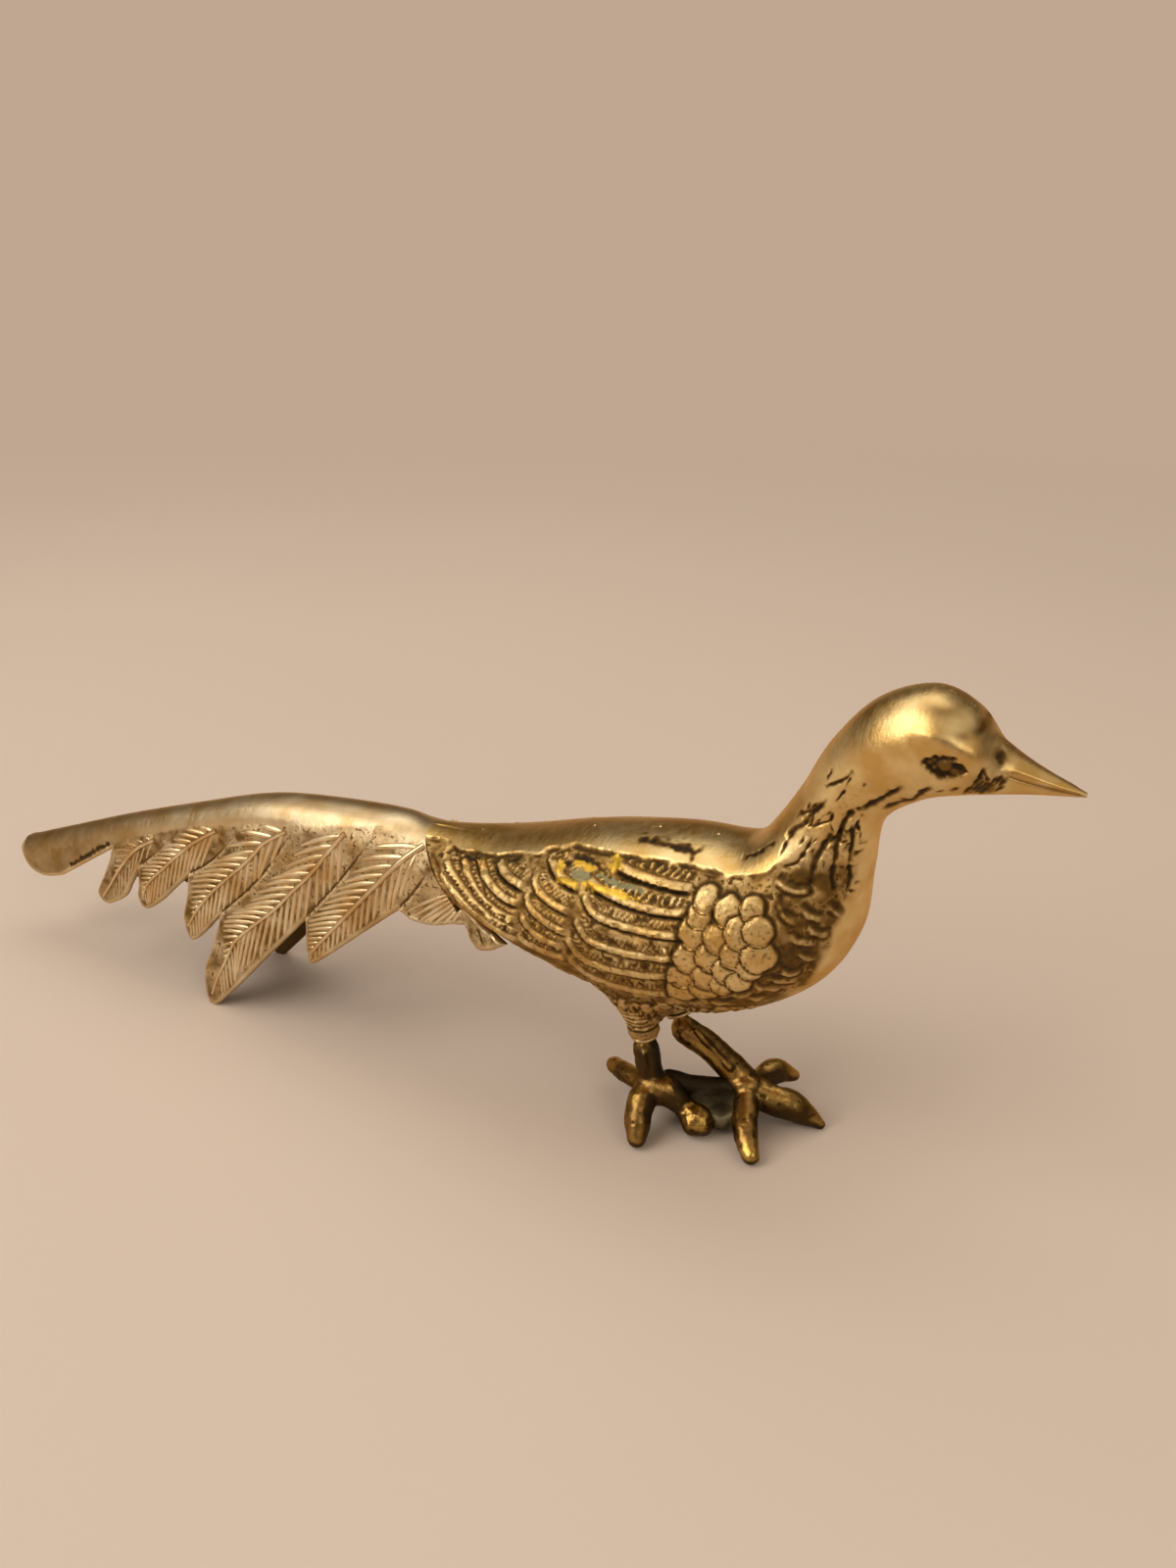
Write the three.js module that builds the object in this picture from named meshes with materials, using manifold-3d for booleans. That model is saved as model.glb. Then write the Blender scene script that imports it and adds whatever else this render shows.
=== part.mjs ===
// Cast brass pheasant ornament, standing, facing +X, with its own left side at +Y.
// Millimetres, +Z up. The origin is on the ground at the middle of the overall length.
// The bird is two brazed half shells (head, neck and body), two tail panels brazed on at the
// rump, two separately cast legs pegged into the thighs, and the filler metal that joins them.
import * as THREE from 'three';
import { mergeVertices } from 'three/addons/utils/BufferGeometryUtils.js';
import Module from 'manifold-3d';

// Fits
const JOINT_GAP = 0.3; // between the rump and the tail panels that are brazed to it
const PEG_GAP = 0.3; // all round a leg's peg in its socket
const FILLER_GAP = 0.3; // between filler metal and what it joins

// Body shells: [x, z] of the back line and of the breast and belly line, and the half width there.
const BODY_WALL = 2.4;
const BODY_SQUARENESS = 0.88; // exponent of the section: 1 is an ellipse, less is fuller
const BODY_STATIONS = [
  { place: 'rump', top: [-82, 66], bottom: [-62, 45], half: 13.4 },
  { place: 'hip', top: [-60, 68.6], bottom: [-44, 41], half: 19.2 },
  { place: 'mid back', top: [-37, 75], bottom: [-26, 35.6], half: 21.5 },
  { place: 'saddle', top: [-14, 79.3], bottom: [-7, 35], half: 22 },
  { place: 'shoulder', top: [0, 80], bottom: [10, 40.5], half: 21 },
  { place: 'neck foot', top: [5.6, 82.2], bottom: [24, 50.6], half: 18 },
  { place: 'crop', top: [9.8, 87.6], bottom: [31, 64], half: 13.5 },
  { place: 'neck', top: [15, 96.5], bottom: [32.1, 79], half: 10.2 },
  { place: 'nape', top: [20.5, 107.8], bottom: [33.5, 91.8], half: 9.5 },
  { place: 'cheek', top: [29, 118.2], bottom: [41.2, 98.6], half: 11 },
  { place: 'crown', top: [40, 122.8], bottom: [49, 101.4], half: 11.5 },
  { place: 'brow', top: [48.8, 120], bottom: [54.5, 102.5], half: 9.5 },
  { place: 'beak root', top: [54.4, 114.3], bottom: [58, 102.9], half: 6 },
  { place: 'beak', top: [61.5, 110], bottom: [63, 103.6], half: 3.6 },
  { place: 'beak tip', top: [72.3, 105.4], bottom: [72.3, 104.6], half: 0.8 },
];
const HOLLOW_FIRST = 0.12; // where the hollow starts and ends, counted in stations
const HOLLOW_LAST = 11;

// Raised wing, drawn from the side in x and z
const WING_RAISED = 0.7;
const WING_EDGE = [
  [-77, 62.5], [-62, 64], [-50, 66.5], [-37, 69], [-24, 72], [-6, 74], [9, 75.5], [15, 72],
  [18.5, 65], [17, 56], [9, 48], [-2, 43.5], [-14, 41], [-30, 41.5], [-48, 44.5], [-64, 49], [-73, 58],
];
// Lower edges of the wing's long feathers, each from its front end backwards in x and z. Each
// feather has a thick raised rim along that edge.
const RIM_WIDTH = 1.6;
const RIM_RAISED = 1.3;
const LONG_FEATHERS = [
  [[-5, 47.6], [-9, 46.2], [-14, 45.4], [-20, 45.2], [-26, 46], [-30, 48], [-33, 51]],
  [[-4, 53.2], [-8, 52], [-14, 50.8], [-20, 50.3], [-26, 50.6], [-29.5, 51.9], [-33.3, 56]],
  [[-3.5, 57.6], [-8, 56.6], [-14, 56], [-20, 55.8], [-25, 56.2], [-28, 57.4], [-31.5, 61.5]],
  [[-3, 63], [-8, 62.3], [-14, 62], [-20, 62], [-24.5, 62.5], [-27.5, 63.8], [-30.5, 67]],
  [[-3, 68], [-8, 67.2], [-14, 66.9], [-20, 67.2], [-26, 68.1], [-30, 69.5]],
  [[-33, 52.8], [-37, 53], [-41, 54], [-44, 56], [-46, 58.6]],
  [[-32, 56.6], [-36, 57.2], [-40, 58.4], [-43, 60], [-44.6, 61.8], [-45.7, 64]],
  [[-31.5, 61.6], [-35, 62], [-39, 62.9], [-42, 64.2], [-43.8, 65.8], [-45, 67.8]],
  [[-46, 50.2], [-52, 50.8], [-57, 51.7], [-63, 53.6], [-70, 56.5]],
  [[-46, 56], [-50, 56], [-55, 57], [-59, 58.4], [-63, 60.6], [-66.5, 63]],
  [[-45.5, 60], [-50, 60], [-55, 61.4], [-59, 63], [-62.5, 65]],
];
// Shoulder scales: x and z of the middle and the size, as a share of SCALE
const SCALE = { halfLength: 2.7, halfHeight: 3, bulge: 1.5, proud: 0.2 };
const SHOULDER_SCALES = [
  [0, 72.5, 0.8], [-0.7, 69.3, 0.8], [-1.2, 65.6, 1.05], [4.6, 65.4, 1], [5.3, 71, 0.95],
  [9, 67.3, 1], [8.6, 62.3, 1], [13.4, 62.2, 1.05], [12.6, 68, 0.9], [3.2, 60.6, 1],
  [-1.7, 59.6, 1.1], [7, 58, 0.95], [11.6, 58.9, 0.8], [2.4, 55.4, 0.95], [-3.7, 54.8, 0.95],
  [9.2, 55.2, 0.8], [-3.8, 50.1, 1.05], [1.6, 51.5, 0.9], [5.6, 53.4, 0.75], [10.5, 72.3, 0.8],
];

// Eye: an almond hollow with a raised pupil in it, placed from the top of the crown
const EYE = { ahead: 4.8, below: 11.8, halfLength: 5, halfHeight: 2.4, deep: 1.1, pupilRadius: 1.6 };
const CROWN = BODY_STATIONS.find((station) => station.place === 'crown');

// Tail panels
const TAIL_WALL = 2.2;
const TAIL_FLARE = 10.5; // degrees that a tail side leans out from the vertical
const TAIL_RIDGE = [
  // x and z of the ridge and the radius that rounds it
  { x: -40, z: 73, round: 13.5 },
  { x: -59, z: 68.6, round: 13 },
  { x: -82, z: 66, round: 11.5 },
  { x: -94, z: 67.4, round: 10 },
  { x: -117, z: 66.2, round: 8 },
  { x: -137, z: 63.2, round: 7 },
  { x: -163, z: 55.2, round: 6.2 },
  { x: -191, z: 45.8, round: 5.6 },
  { x: -212, z: 38, round: 5.2 },
  { x: -240, z: 27.6, round: 5 },
];
const TAIL_HOLLOW_END_X = -212; // behind this the tail is solid
const TAIL_END_X = -235;
const TAIL_END_TOP_Z = 27; // where the flat end starts to turn under
const TAIL_END_ROUND = [[-231.6, 22], [-225, 20.2], [-216, 22.4]];
// Feathers from the wing backwards. A feather's rear edge runs from rootX, just under the ridge,
// by its middle to the notch behind it, and its rounded end goes by rear, tip and front.
// The tip of the longest one is cut flat where it stands.
const FEATHERS = [
  {
    name: 'covert point',
    rootX: -72,
    middle: [-67, 54],
    notch: [-64.4, 47.6],
    rear: [-63, 44.4],
    tip: [-60.4, 42.2],
    front: [-56.4, 43.2],
  },
  {
    name: 'round covert',
    rootX: -86,
    middle: [-87, 53],
    notch: [-85.4, 46.2],
    rear: [-81, 44.4],
    tip: [-75.2, 44.6],
    front: [-69.5, 46.4],
  },
  {
    name: 'first long',
    rootX: -95,
    middle: [-103.6, 50.4],
    notch: [-116.5, 35.4],
    rear: [-116.2, 26.8],
    tip: [-114.6, 23],
    front: [-110, 25.8],
  },
  {
    name: 'longest',
    rootX: -120,
    middle: [-132.6, 43],
    notch: [-147.7, 28.5],
    rear: [-154.4, 8.4],
    tip: [-152, -1],
    front: [-144.4, 5.2],
  },
  {
    name: 'third',
    rootX: -138,
    middle: [-150, 44.2],
    notch: [-160.4, 37],
    rear: [-162.8, 22.8],
    tip: [-159.6, 17.2],
    front: [-154, 21.6],
  },
  {
    name: 'fourth',
    rootX: -163,
    middle: [-173, 40.6],
    notch: [-180.8, 34.2],
    rear: [-181.8, 24.6],
    tip: [-178.6, 21.6],
    front: [-172.6, 25.4],
  },
  {
    name: 'last',
    rootX: -180,
    middle: [-187, 41],
    notch: [-192.2, 37.2],
    rear: [-199.4, 21.4],
    tip: [-195.4, 18.8],
    front: [-188, 22.8],
  },
];
const COVERT_FRONT = [-52.6, 45.6]; // where the covert point's front edge turns up, below the body
const COVERT_SEAT = 0.24; // how far up the rump joint the coverts start, as a share of its height
const FEATHER_STEP = 0.3; // each feather lies this much higher than the one behind it
const RIDGE_BAND = 5; // height of the plain band between the ridge and the feathers' roots

// Legs
const THIGH_ROOT_RADIUS = 6;
const THIGH_END_RADIUS = 3.9;
const THIGH_LENGTH = 13;
const PEG_RADIUS = 1.9;
const PEG_LENGTH = 6; // inside the socket
const PEG_ROOT = 4; // inside the shank
const RING_HEIGHT = 1;
const SHANK_RADIUS = 3.1;
const HUB_RADIUS = 4.3; // the lump that a foot's toes spring from
const HUB_HEIGHT = 3.4; // half the lump's height
const SOLE_CUT = 0.5; // depth of the flat that each claw stands on

// Feet: the socket's face, the top of the thigh's axis, the hub, and each toe as points from
// the hub to the claw, [x, y, z, radius]. A claw whose z is null stands on its sole.
const RIGHT_LEG = {
  thighTop: [-20, -8.2, 38],
  socket: [-18.6, -7, 25.6],
  hub: [-16, -7, 8.8],
  toes: [
    [[-21.5, -4.5, 8.6, 2.9], [-26, -2, 7.6, 2.9], [-30.4, 1.6, 6, 2.3]],
    [[-16.8, -12, 8.2, 3.3], [-16, -16, 6, 3.2], [-14.2, -19.6, null, 2.1]],
    [[-9, -7, 7.2, 3.4], [-4.5, -6.8, 5.6, 3.8], [-1.5, -8.2, null, 3]],
  ],
};
const LEFT_LEG = {
  thighTop: [-20, 7.5, 38],
  socket: [-14.4, 5.2, 25.6],
  hub: [5, 5, 8.8],
  toes: [
    [[7, -2, 6.4, 3.1], [9.4, -8, 4.4, 3], [12.3, -12, null, 1.9]],
    [[11, 4.6, 7, 3.6], [16.5, 6, 5.6, 3.6], [23.6, 7.6, null, 1.4]],
    [[7, 10.5, 7.6, 3], [9, 16, 6.8, 3.2], [13, 19.8, 4.6, 1.4]],
  ],
};
const BRIDGE = { from: [-9, -2.5, 3.2], to: [0, 2.5, 3.2], radius: 3.6 };
const BEAD_RADIUS = 1; // filler laid along the inside of a seam
const BEAD_SETBACK = 4; // from a tail seam's ends to its bead
const BEAD_FIRST = 0.4; // where the body's beads start and end, in stations inside the hollow
const BEAD_LAST = 0.6;

// Mesh fineness
const SECTION_STEPS = 12; // points down each side of a body section
const STEPS_PER_STATION = 3;
const LIMB_SIDES = 10;
const TIP_TURNS = [35, 70]; // degrees round a limb's rounded end, where it has rings
const BEAD_SIDES = 6;
const TAIL_BEAD_STEPS = 8;
const ROUND_SIDES = 16; // sides of a thigh, socket, peg, ring and ball
const RIDGE_STEPS = 6; // points round each side of the tail's ridge
const TAIL_RING_STEP = 9;
const CREST_STEPS = 6;
const OUTLINE_STEPS = 48;
const CURVE_STEPS = 4; // of each curved stretch in a side view
const RIM_STEPS = 10; // along a long feather's rim
const SCALE_SIDES = 8; // of a shoulder scale, and steps from its middle to its back
const SLOPE_STEP = 0.5; // between points that give the body's slope
const WELD = 1e-4; // points closer than this are one
const HALVINGS = 40; // of an interval, to find a place on a curve
const CUT_DEPTH = 20; // how far a cutting shape reaches past what it cuts

const wasm = await Module();
wasm.setup();

// A closed three.js geometry as a manifold-3d solid.
function solidOf(geometry) {
  const bare = new THREE.BufferGeometry();
  const flat = geometry.index ? geometry.toNonIndexed() : geometry;
  bare.setAttribute('position', flat.getAttribute('position'));
  const merged = mergeVertices(bare, WELD);
  return new wasm.Manifold(
    new wasm.Mesh({
      numProp: 3,
      vertProperties: merged.attributes.position.array,
      triVerts: new Uint32Array(merged.index.array),
    }),
  );
}

// A manifold-3d solid as a three.js geometry.
function geometryOf(solid) {
  const mesh = solid.getMesh();
  const geometry = new THREE.BufferGeometry();
  geometry.setAttribute('position', new THREE.BufferAttribute(new Float32Array(mesh.vertProperties), 3));
  geometry.setIndex(new THREE.BufferAttribute(new Uint32Array(mesh.triVerts), 1));
  geometry.computeVertexNormals();
  return geometry;
}

// A solid through rings of points, each ring a list of Vector3 round a section.
function loft(rings) {
  const count = rings[0].length;
  const positions = rings.flat().flatMap((p) => [p.x, p.y, p.z]);
  const faces = [];
  for (let r = 0; r + 1 < rings.length; r++) {
    for (let k = 0; k < count; k++) {
      const a = r * count + k;
      const b = r * count + ((k + 1) % count);
      faces.push(a, b, a + count, b, b + count, a + count);
    }
  }
  for (const ring of [0, rings.length - 1]) {
    const centre = rings[ring].reduce((sum, p) => sum.add(p), new THREE.Vector3()).divideScalar(count);
    const hub = positions.length / 3;
    positions.push(centre.x, centre.y, centre.z);
    for (let k = 0; k < count; k++) {
      const a = ring * count + k;
      const b = ring * count + ((k + 1) % count);
      faces.push(...(ring === 0 ? [hub, b, a] : [hub, a, b]));
    }
  }
  const geometry = new THREE.BufferGeometry();
  geometry.setAttribute('position', new THREE.BufferAttribute(new Float32Array(positions), 3));
  geometry.setIndex(faces);
  const made = solidOf(geometry);
  if (made.volume() > 0) return made;
  const turned = [];
  for (let i = 0; i < faces.length; i += 3) turned.push(faces[i], faces[i + 2], faces[i + 1]);
  geometry.setIndex(turned);
  return solidOf(geometry);
}

// A box from its lowest to its highest corner.
function block(low, high) {
  const size = high.map((h, i) => h - low[i]);
  const geometry = new THREE.BoxGeometry(...size);
  geometry.translate(...low.map((l, i) => l + size[i] / 2));
  return solidOf(geometry);
}

// A value read from a list at a place counted in list steps, smoothly.
function smooth(values, place) {
  const curve = new THREE.SplineCurve(values.map((v, i) => new THREE.Vector2(i, v)));
  return curve.getPoint(place / (values.length - 1)).y;
}

const FAR = 400; // larger than the object, for cutting blocks
const RIGHT = block([-FAR, -FAR, -FAR], [FAR, 0, FAR]);
const LEFT = block([-FAR, 0, -FAR], [FAR, FAR, FAR]);
const BELOW_GROUND = block([-FAR, -FAR, -FAR], [FAR, FAR, 0]);

const onSide = ([x, z]) => new THREE.Vector2(x, z);

// A side-view outline of [x, z] points pushed through the whole width.
function sidePrism(shape) {
  const options = { depth: 2 * FAR, bevelEnabled: false, curveSegments: CURVE_STEPS };
  const prism = new THREE.ExtrudeGeometry(shape, options);
  prism.rotateX(Math.PI / 2);
  prism.translate(0, FAR, 0);
  return solidOf(prism);
}

// A smooth closed side-view outline.
function roundOutline(points) {
  const curve = new THREE.CatmullRomCurve3(points.map(([x, z]) => new THREE.Vector3(x, z, 0)), true);
  return new THREE.Shape(curve.getPoints(OUTLINE_STEPS).slice(0, -1).map((p) => new THREE.Vector2(p.x, p.y)));
}

// Body section at a place counted in stations, drawn in by inset on every side.
function bodySection(place, inset) {
  const at = (pick) => smooth(BODY_STATIONS.map(pick), place);
  const top = new THREE.Vector3(at((s) => s.top[0]), 0, at((s) => s.top[1]));
  const bottom = new THREE.Vector3(at((s) => s.bottom[0]), 0, at((s) => s.bottom[1]));
  const middle = top.clone().add(bottom).multiplyScalar(0.5);
  const up = top.clone().sub(bottom).multiplyScalar(0.5);
  up.setLength(up.length() - inset);
  const half = at((s) => s.half) - inset;
  const ring = [];
  for (let k = 0; k < 2 * SECTION_STEPS; k++) {
    const angle = (Math.PI * k) / SECTION_STEPS;
    const across = Math.sign(Math.sin(angle)) * Math.abs(Math.sin(angle)) ** BODY_SQUARENESS;
    const sideways = new THREE.Vector3(0, across * half, 0);
    ring.push(middle.clone().addScaledVector(up, Math.cos(angle)).add(sideways));
  }
  return ring;
}

function bodySolid(first, last, inset) {
  const steps = Math.round((last - first) * STEPS_PER_STATION);
  const rings = [];
  for (let i = 0; i <= steps; i++) rings.push(bodySection(first + ((last - first) * i) / steps, inset));
  return loft(rings);
}

// A limb of round sections along a smooth line of points, with a radius for each point.
function limb(points, radii, grow = 0, sides = LIMB_SIDES, stepsPerPoint = 3) {
  const curve = new THREE.CatmullRomCurve3(points.map((p) => new THREE.Vector3(...p)));
  const steps = stepsPerPoint * (points.length - 1);
  const frames = curve.computeFrenetFrames(steps, false);
  const rings = [];
  const addRing = (centre, radius, i) => {
    const ring = [];
    for (let k = 0; k < sides; k++) {
      const angle = (2 * Math.PI * k) / sides;
      const spoke = frames.normals[i].clone().multiplyScalar(radius * Math.cos(angle));
      ring.push(spoke.addScaledVector(frames.binormals[i], radius * Math.sin(angle)).add(centre));
    }
    rings.push(ring);
  };
  for (let i = 0; i <= steps; i++) {
    const share = curve.getUtoTmapping(i / steps);
    addRing(curve.getPoint(share), smooth(radii, share * (points.length - 1)) + grow, i);
  }
  const endRadius = radii[radii.length - 1] + grow;
  for (const degrees of TIP_TURNS) {
    const turn = THREE.MathUtils.degToRad(degrees);
    const centre = curve.getPoint(1).addScaledVector(frames.tangents[steps], endRadius * Math.sin(turn));
    addRing(centre, endRadius * Math.cos(turn), steps);
  }
  return loft(rings);
}

// A ball, for the pupil, the eye's hollow and a foot's hub.
function ball(centre, radii) {
  const geometry = new THREE.SphereGeometry(1, ROUND_SIDES, LIMB_SIDES);
  geometry.scale(...radii);
  geometry.translate(...centre);
  return solidOf(geometry);
}

// Turns and moves a geometry that stands on y = 0 so that it stands on a point along an axis.
function stand(geometry, point, axis) {
  geometry.applyQuaternion(new THREE.Quaternion().setFromUnitVectors(new THREE.Vector3(0, 1, 0), axis));
  geometry.translate(point.x, point.y, point.z);
  return solidOf(geometry);
}

// Where a thigh ends: the socket's face and the direction up the thigh.
function hip(leg) {
  const socket = new THREE.Vector3(...leg.socket);
  const axis = new THREE.Vector3(...leg.thighTop).sub(socket).normalize();
  return { socket, axis };
}

function thigh(leg) {
  const { socket, axis } = hip(leg);
  const cone = new THREE.CylinderGeometry(THIGH_ROOT_RADIUS, THIGH_END_RADIUS, THIGH_LENGTH, ROUND_SIDES);
  cone.translate(0, THIGH_LENGTH / 2, 0);
  return stand(cone, socket, axis);
}

function socketBore(leg) {
  const { socket, axis } = hip(leg);
  const depth = PEG_LENGTH + PEG_GAP;
  const bore = new THREE.CylinderGeometry(PEG_RADIUS + PEG_GAP, PEG_RADIUS + PEG_GAP, 2 * depth, ROUND_SIDES);
  return stand(bore, socket, axis);
}

// Filler round the peg, between the thigh's end and the shank's shoulder.
function brazeRing(leg) {
  const { socket, axis } = hip(leg);
  const inner = PEG_RADIUS + FILLER_GAP;
  const profile = [
    [inner, 0],
    [SHANK_RADIUS, 0],
    [THIGH_END_RADIUS, RING_HEIGHT],
    [inner, RING_HEIGHT],
    [inner, 0],
  ].map(([r, y]) => new THREE.Vector2(r, y));
  const ring = new THREE.LatheGeometry(profile, ROUND_SIDES);
  ring.translate(0, -(RING_HEIGHT + FILLER_GAP), 0);
  return stand(ring, socket, axis);
}

function legSolid(leg, grow = 0) {
  const { socket, axis } = hip(leg);
  const shoulder = socket.clone().addScaledVector(axis, -(RING_HEIGHT + 2 * FILLER_GAP));
  const start = shoulder.clone().addScaledVector(axis, SHANK_RADIUS);
  const shankRadii = [SHANK_RADIUS, SHANK_RADIUS, SHANK_RADIUS];
  const aboveShoulder = new THREE.CylinderGeometry(CUT_DEPTH, CUT_DEPTH, CUT_DEPTH, ROUND_SIDES);
  aboveShoulder.translate(0, CUT_DEPTH / 2, 0);
  let made = limb([start.toArray(), shoulder.toArray(), leg.hub], shankRadii, grow);
  made = made.subtract(stand(aboveShoulder, shoulder, axis));
  const pegReach = PEG_LENGTH + PEG_ROOT;
  const peg = new THREE.CylinderGeometry(PEG_RADIUS + grow, PEG_RADIUS + grow, pegReach, ROUND_SIDES);
  peg.translate(0, pegReach / 2 - PEG_ROOT, 0);
  made = made.add(stand(peg, socket, axis));
  made = made.add(ball(leg.hub, [HUB_RADIUS + grow, HUB_RADIUS + grow, HUB_HEIGHT + grow]));
  for (const toe of leg.toes) {
    const points = toe.map(([x, y, z, radius]) => [x, y, z ?? radius - SOLE_CUT]);
    const toeRadii = toe.map((point) => point[3]);
    made = made.add(limb([leg.hub, ...points], [toeRadii[0], ...toeRadii], grow));
  }
  return made.subtract(BELOW_GROUND);
}

// Body shells
const HOLLOW = bodySolid(HOLLOW_FIRST, HOLLOW_LAST, BODY_WALL);

// Half the body's width where a side view's point [x, z] lies on its surface.
function halfWidthAt(x, z) {
  const inStation = (place) => {
    const section = bodySection(place, 0);
    const top = section[0];
    const bottom = section[SECTION_STEPS];
    const share = (z - bottom.z) / (top.z - bottom.z);
    return { share, ahead: x - THREE.MathUtils.lerp(bottom.x, top.x, share) };
  };
  let low = 0;
  let high = BODY_STATIONS.length - 1;
  for (let i = 0; i < HALVINGS; i++) {
    const middle = (low + high) / 2;
    if (inStation(middle).ahead > 0) low = middle;
    else high = middle;
  }
  const half = smooth(BODY_STATIONS.map((station) => station.half), low);
  const up = THREE.MathUtils.clamp(2 * inStation(low).share - 1, -1, 1);
  return half * Math.sqrt(1 - up * up) ** BODY_SQUARENESS;
}

function eyeAt(solid, side) {
  const x = CROWN.top[0] + EYE.ahead;
  const z = CROWN.top[1] - EYE.below;
  const surface = side * halfWidthAt(x, z);
  const floor = surface - side * EYE.deep;
  const hollow = ball([x, surface, z], [EYE.halfLength, EYE.deep, EYE.halfHeight]);
  const pupil = ball([x, floor, z], [EYE.pupilRadius, EYE.pupilRadius, EYE.pupilRadius]);
  return solid.subtract(hollow).add(pupil);
}

// Side view of the rim along a long feather's lower edge.
function rimOutline(edge) {
  const curve = new THREE.SplineCurve(edge.map(onSide));
  const lower = curve.getPoints(RIM_STEPS);
  const upper = lower.map((point, i) => {
    const along = curve.getTangent(i / RIM_STEPS);
    return new THREE.Vector2(along.y, -along.x).multiplyScalar(RIM_WIDTH).add(point);
  });
  return new THREE.Shape([...lower, ...upper.reverse()]);
}

// A domed scale that lies on one side of the body.
function scaleAt([x, z, size], side) {
  const slopeX = (halfWidthAt(x + SLOPE_STEP, z) - halfWidthAt(x - SLOPE_STEP, z)) / (2 * SLOPE_STEP);
  const slopeZ = (halfWidthAt(x, z + SLOPE_STEP) - halfWidthAt(x, z - SLOPE_STEP)) / (2 * SLOPE_STEP);
  const outward = new THREE.Vector3(-slopeX, side, -slopeZ).normalize();
  const middle = new THREE.Vector3(x, side * halfWidthAt(x, z), z).addScaledVector(outward, SCALE.proud);
  const dome = new THREE.SphereGeometry(1, SCALE_SIDES, SCALE_SIDES);
  dome.scale(SCALE.halfLength * size, SCALE.bulge, SCALE.halfHeight * size);
  return stand(dome, middle, outward);
}

function wholeBody() {
  const last = BODY_STATIONS.length - 1;
  const raised = (height, outline) => bodySolid(0, last, -height).intersect(outline);
  const rims = LONG_FEATHERS.map((edge) => sidePrism(rimOutline(edge)));
  const parts = [
    bodySolid(0, last, 0),
    raised(WING_RAISED, sidePrism(roundOutline(WING_EDGE))),
    raised(RIM_RAISED, wasm.Manifold.union(rims)),
    thigh(RIGHT_LEG),
    thigh(LEFT_LEG),
  ];
  for (const side of [-1, 1]) parts.push(...SHOULDER_SCALES.map((scale) => scaleAt(scale, side)));
  return wasm.Manifold.union(parts);
}

const BODY = wholeBody();

function bodyShell(leg, half, side) {
  return eyeAt(BODY, side).intersect(half).subtract(HOLLOW).subtract(socketBore(leg));
}

// Tail: an arch of rounded ridge and flared sides, cut to the feathers' outline.
function ridgeAt(x) {
  const line = new THREE.SplineCurve(TAIL_RIDGE.map((p) => new THREE.Vector2(p.x, p.z)));
  const rounding = new THREE.SplineCurve(TAIL_RIDGE.map((p) => new THREE.Vector2(p.x, p.round)));
  let low = 0;
  let high = 1;
  for (let i = 0; i < HALVINGS; i++) {
    const middle = (low + high) / 2;
    if (line.getPoint(middle).x > x) low = middle;
    else high = middle;
  }
  return { z: line.getPoint(low).y, round: rounding.getPoint(low).y };
}

function tailSection(x, inset) {
  const { z, round } = ridgeAt(x);
  const radius = round - inset;
  const centre = z - round;
  const flare = THREE.MathUtils.degToRad(TAIL_FLARE);
  const side = [];
  for (let k = 0; k <= RIDGE_STEPS; k++) {
    const angle = ((Math.PI / 2 - flare) * k) / RIDGE_STEPS;
    side.push([radius * Math.sin(angle), centre + radius * Math.cos(angle)]);
  }
  const [y, top] = side[RIDGE_STEPS];
  side.push([y + (top + CUT_DEPTH) * Math.tan(flare), -CUT_DEPTH]);
  const right = side.map(([py, pz]) => new THREE.Vector3(x, -py, pz));
  const left = side.slice(1).reverse().map(([py, pz]) => new THREE.Vector3(x, py, pz));
  return [...right, ...left];
}

function tailArch(fromX, toX, inset) {
  const steps = Math.ceil((fromX - toX) / TAIL_RING_STEP);
  const rings = [];
  for (let i = 0; i <= steps; i++) rings.push(tailSection(fromX + ((toX - fromX) * i) / steps, inset));
  return loft(rings);
}

// The side view of the tail: along the rump joint, over the ridge, round the end, then tip by tip.
function tailOutline() {
  const [rump] = BODY_STATIONS;
  const foot = onSide(rump.bottom);
  const up = onSide(rump.top).sub(foot).normalize();
  const back = new THREE.Vector2(-up.y, up.x).multiplyScalar(JOINT_GAP);
  const jointTop = onSide(rump.top).addScaledVector(up, CUT_DEPTH).add(back);
  const jointFoot = foot.clone().lerp(onSide(rump.top), COVERT_SEAT).add(back);
  const shape = new THREE.Shape();
  shape.moveTo(jointFoot.x, jointFoot.y);
  shape.lineTo(jointTop.x, jointTop.y);
  shape.lineTo(TAIL_END_X, jointTop.y);
  shape.lineTo(TAIL_END_X, TAIL_END_TOP_Z);
  shape.splineThru(TAIL_END_ROUND.map(onSide));
  for (const { notch, rear, tip, front } of [...FEATHERS].reverse()) {
    shape.lineTo(...notch);
    shape.lineTo(...rear);
    shape.splineThru([tip, front].map(onSide));
  }
  shape.lineTo(...COVERT_FRONT);
  shape.closePath();
  return shape;
}

// Side view of all that lies ahead of a feather's rear edge, up to the plain band by the ridge.
function aheadOf({ rootX, middle, notch }, frontX) {
  const crest = [];
  for (let i = 0; i <= CREST_STEPS; i++) {
    const x = rootX + ((frontX - rootX) * i) / CREST_STEPS;
    crest.push(new THREE.Vector2(x, ridgeAt(x).z - RIDGE_BAND));
  }
  const rearEdge = new THREE.SplineCurve([onSide(notch), onSide(middle), crest[0]]).getPoints(CURVE_STEPS);
  return new THREE.Shape([
    new THREE.Vector2(notch[0], -CUT_DEPTH),
    ...rearEdge,
    ...crest.slice(1),
    new THREE.Vector2(frontX, -CUT_DEPTH),
  ]);
}

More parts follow.
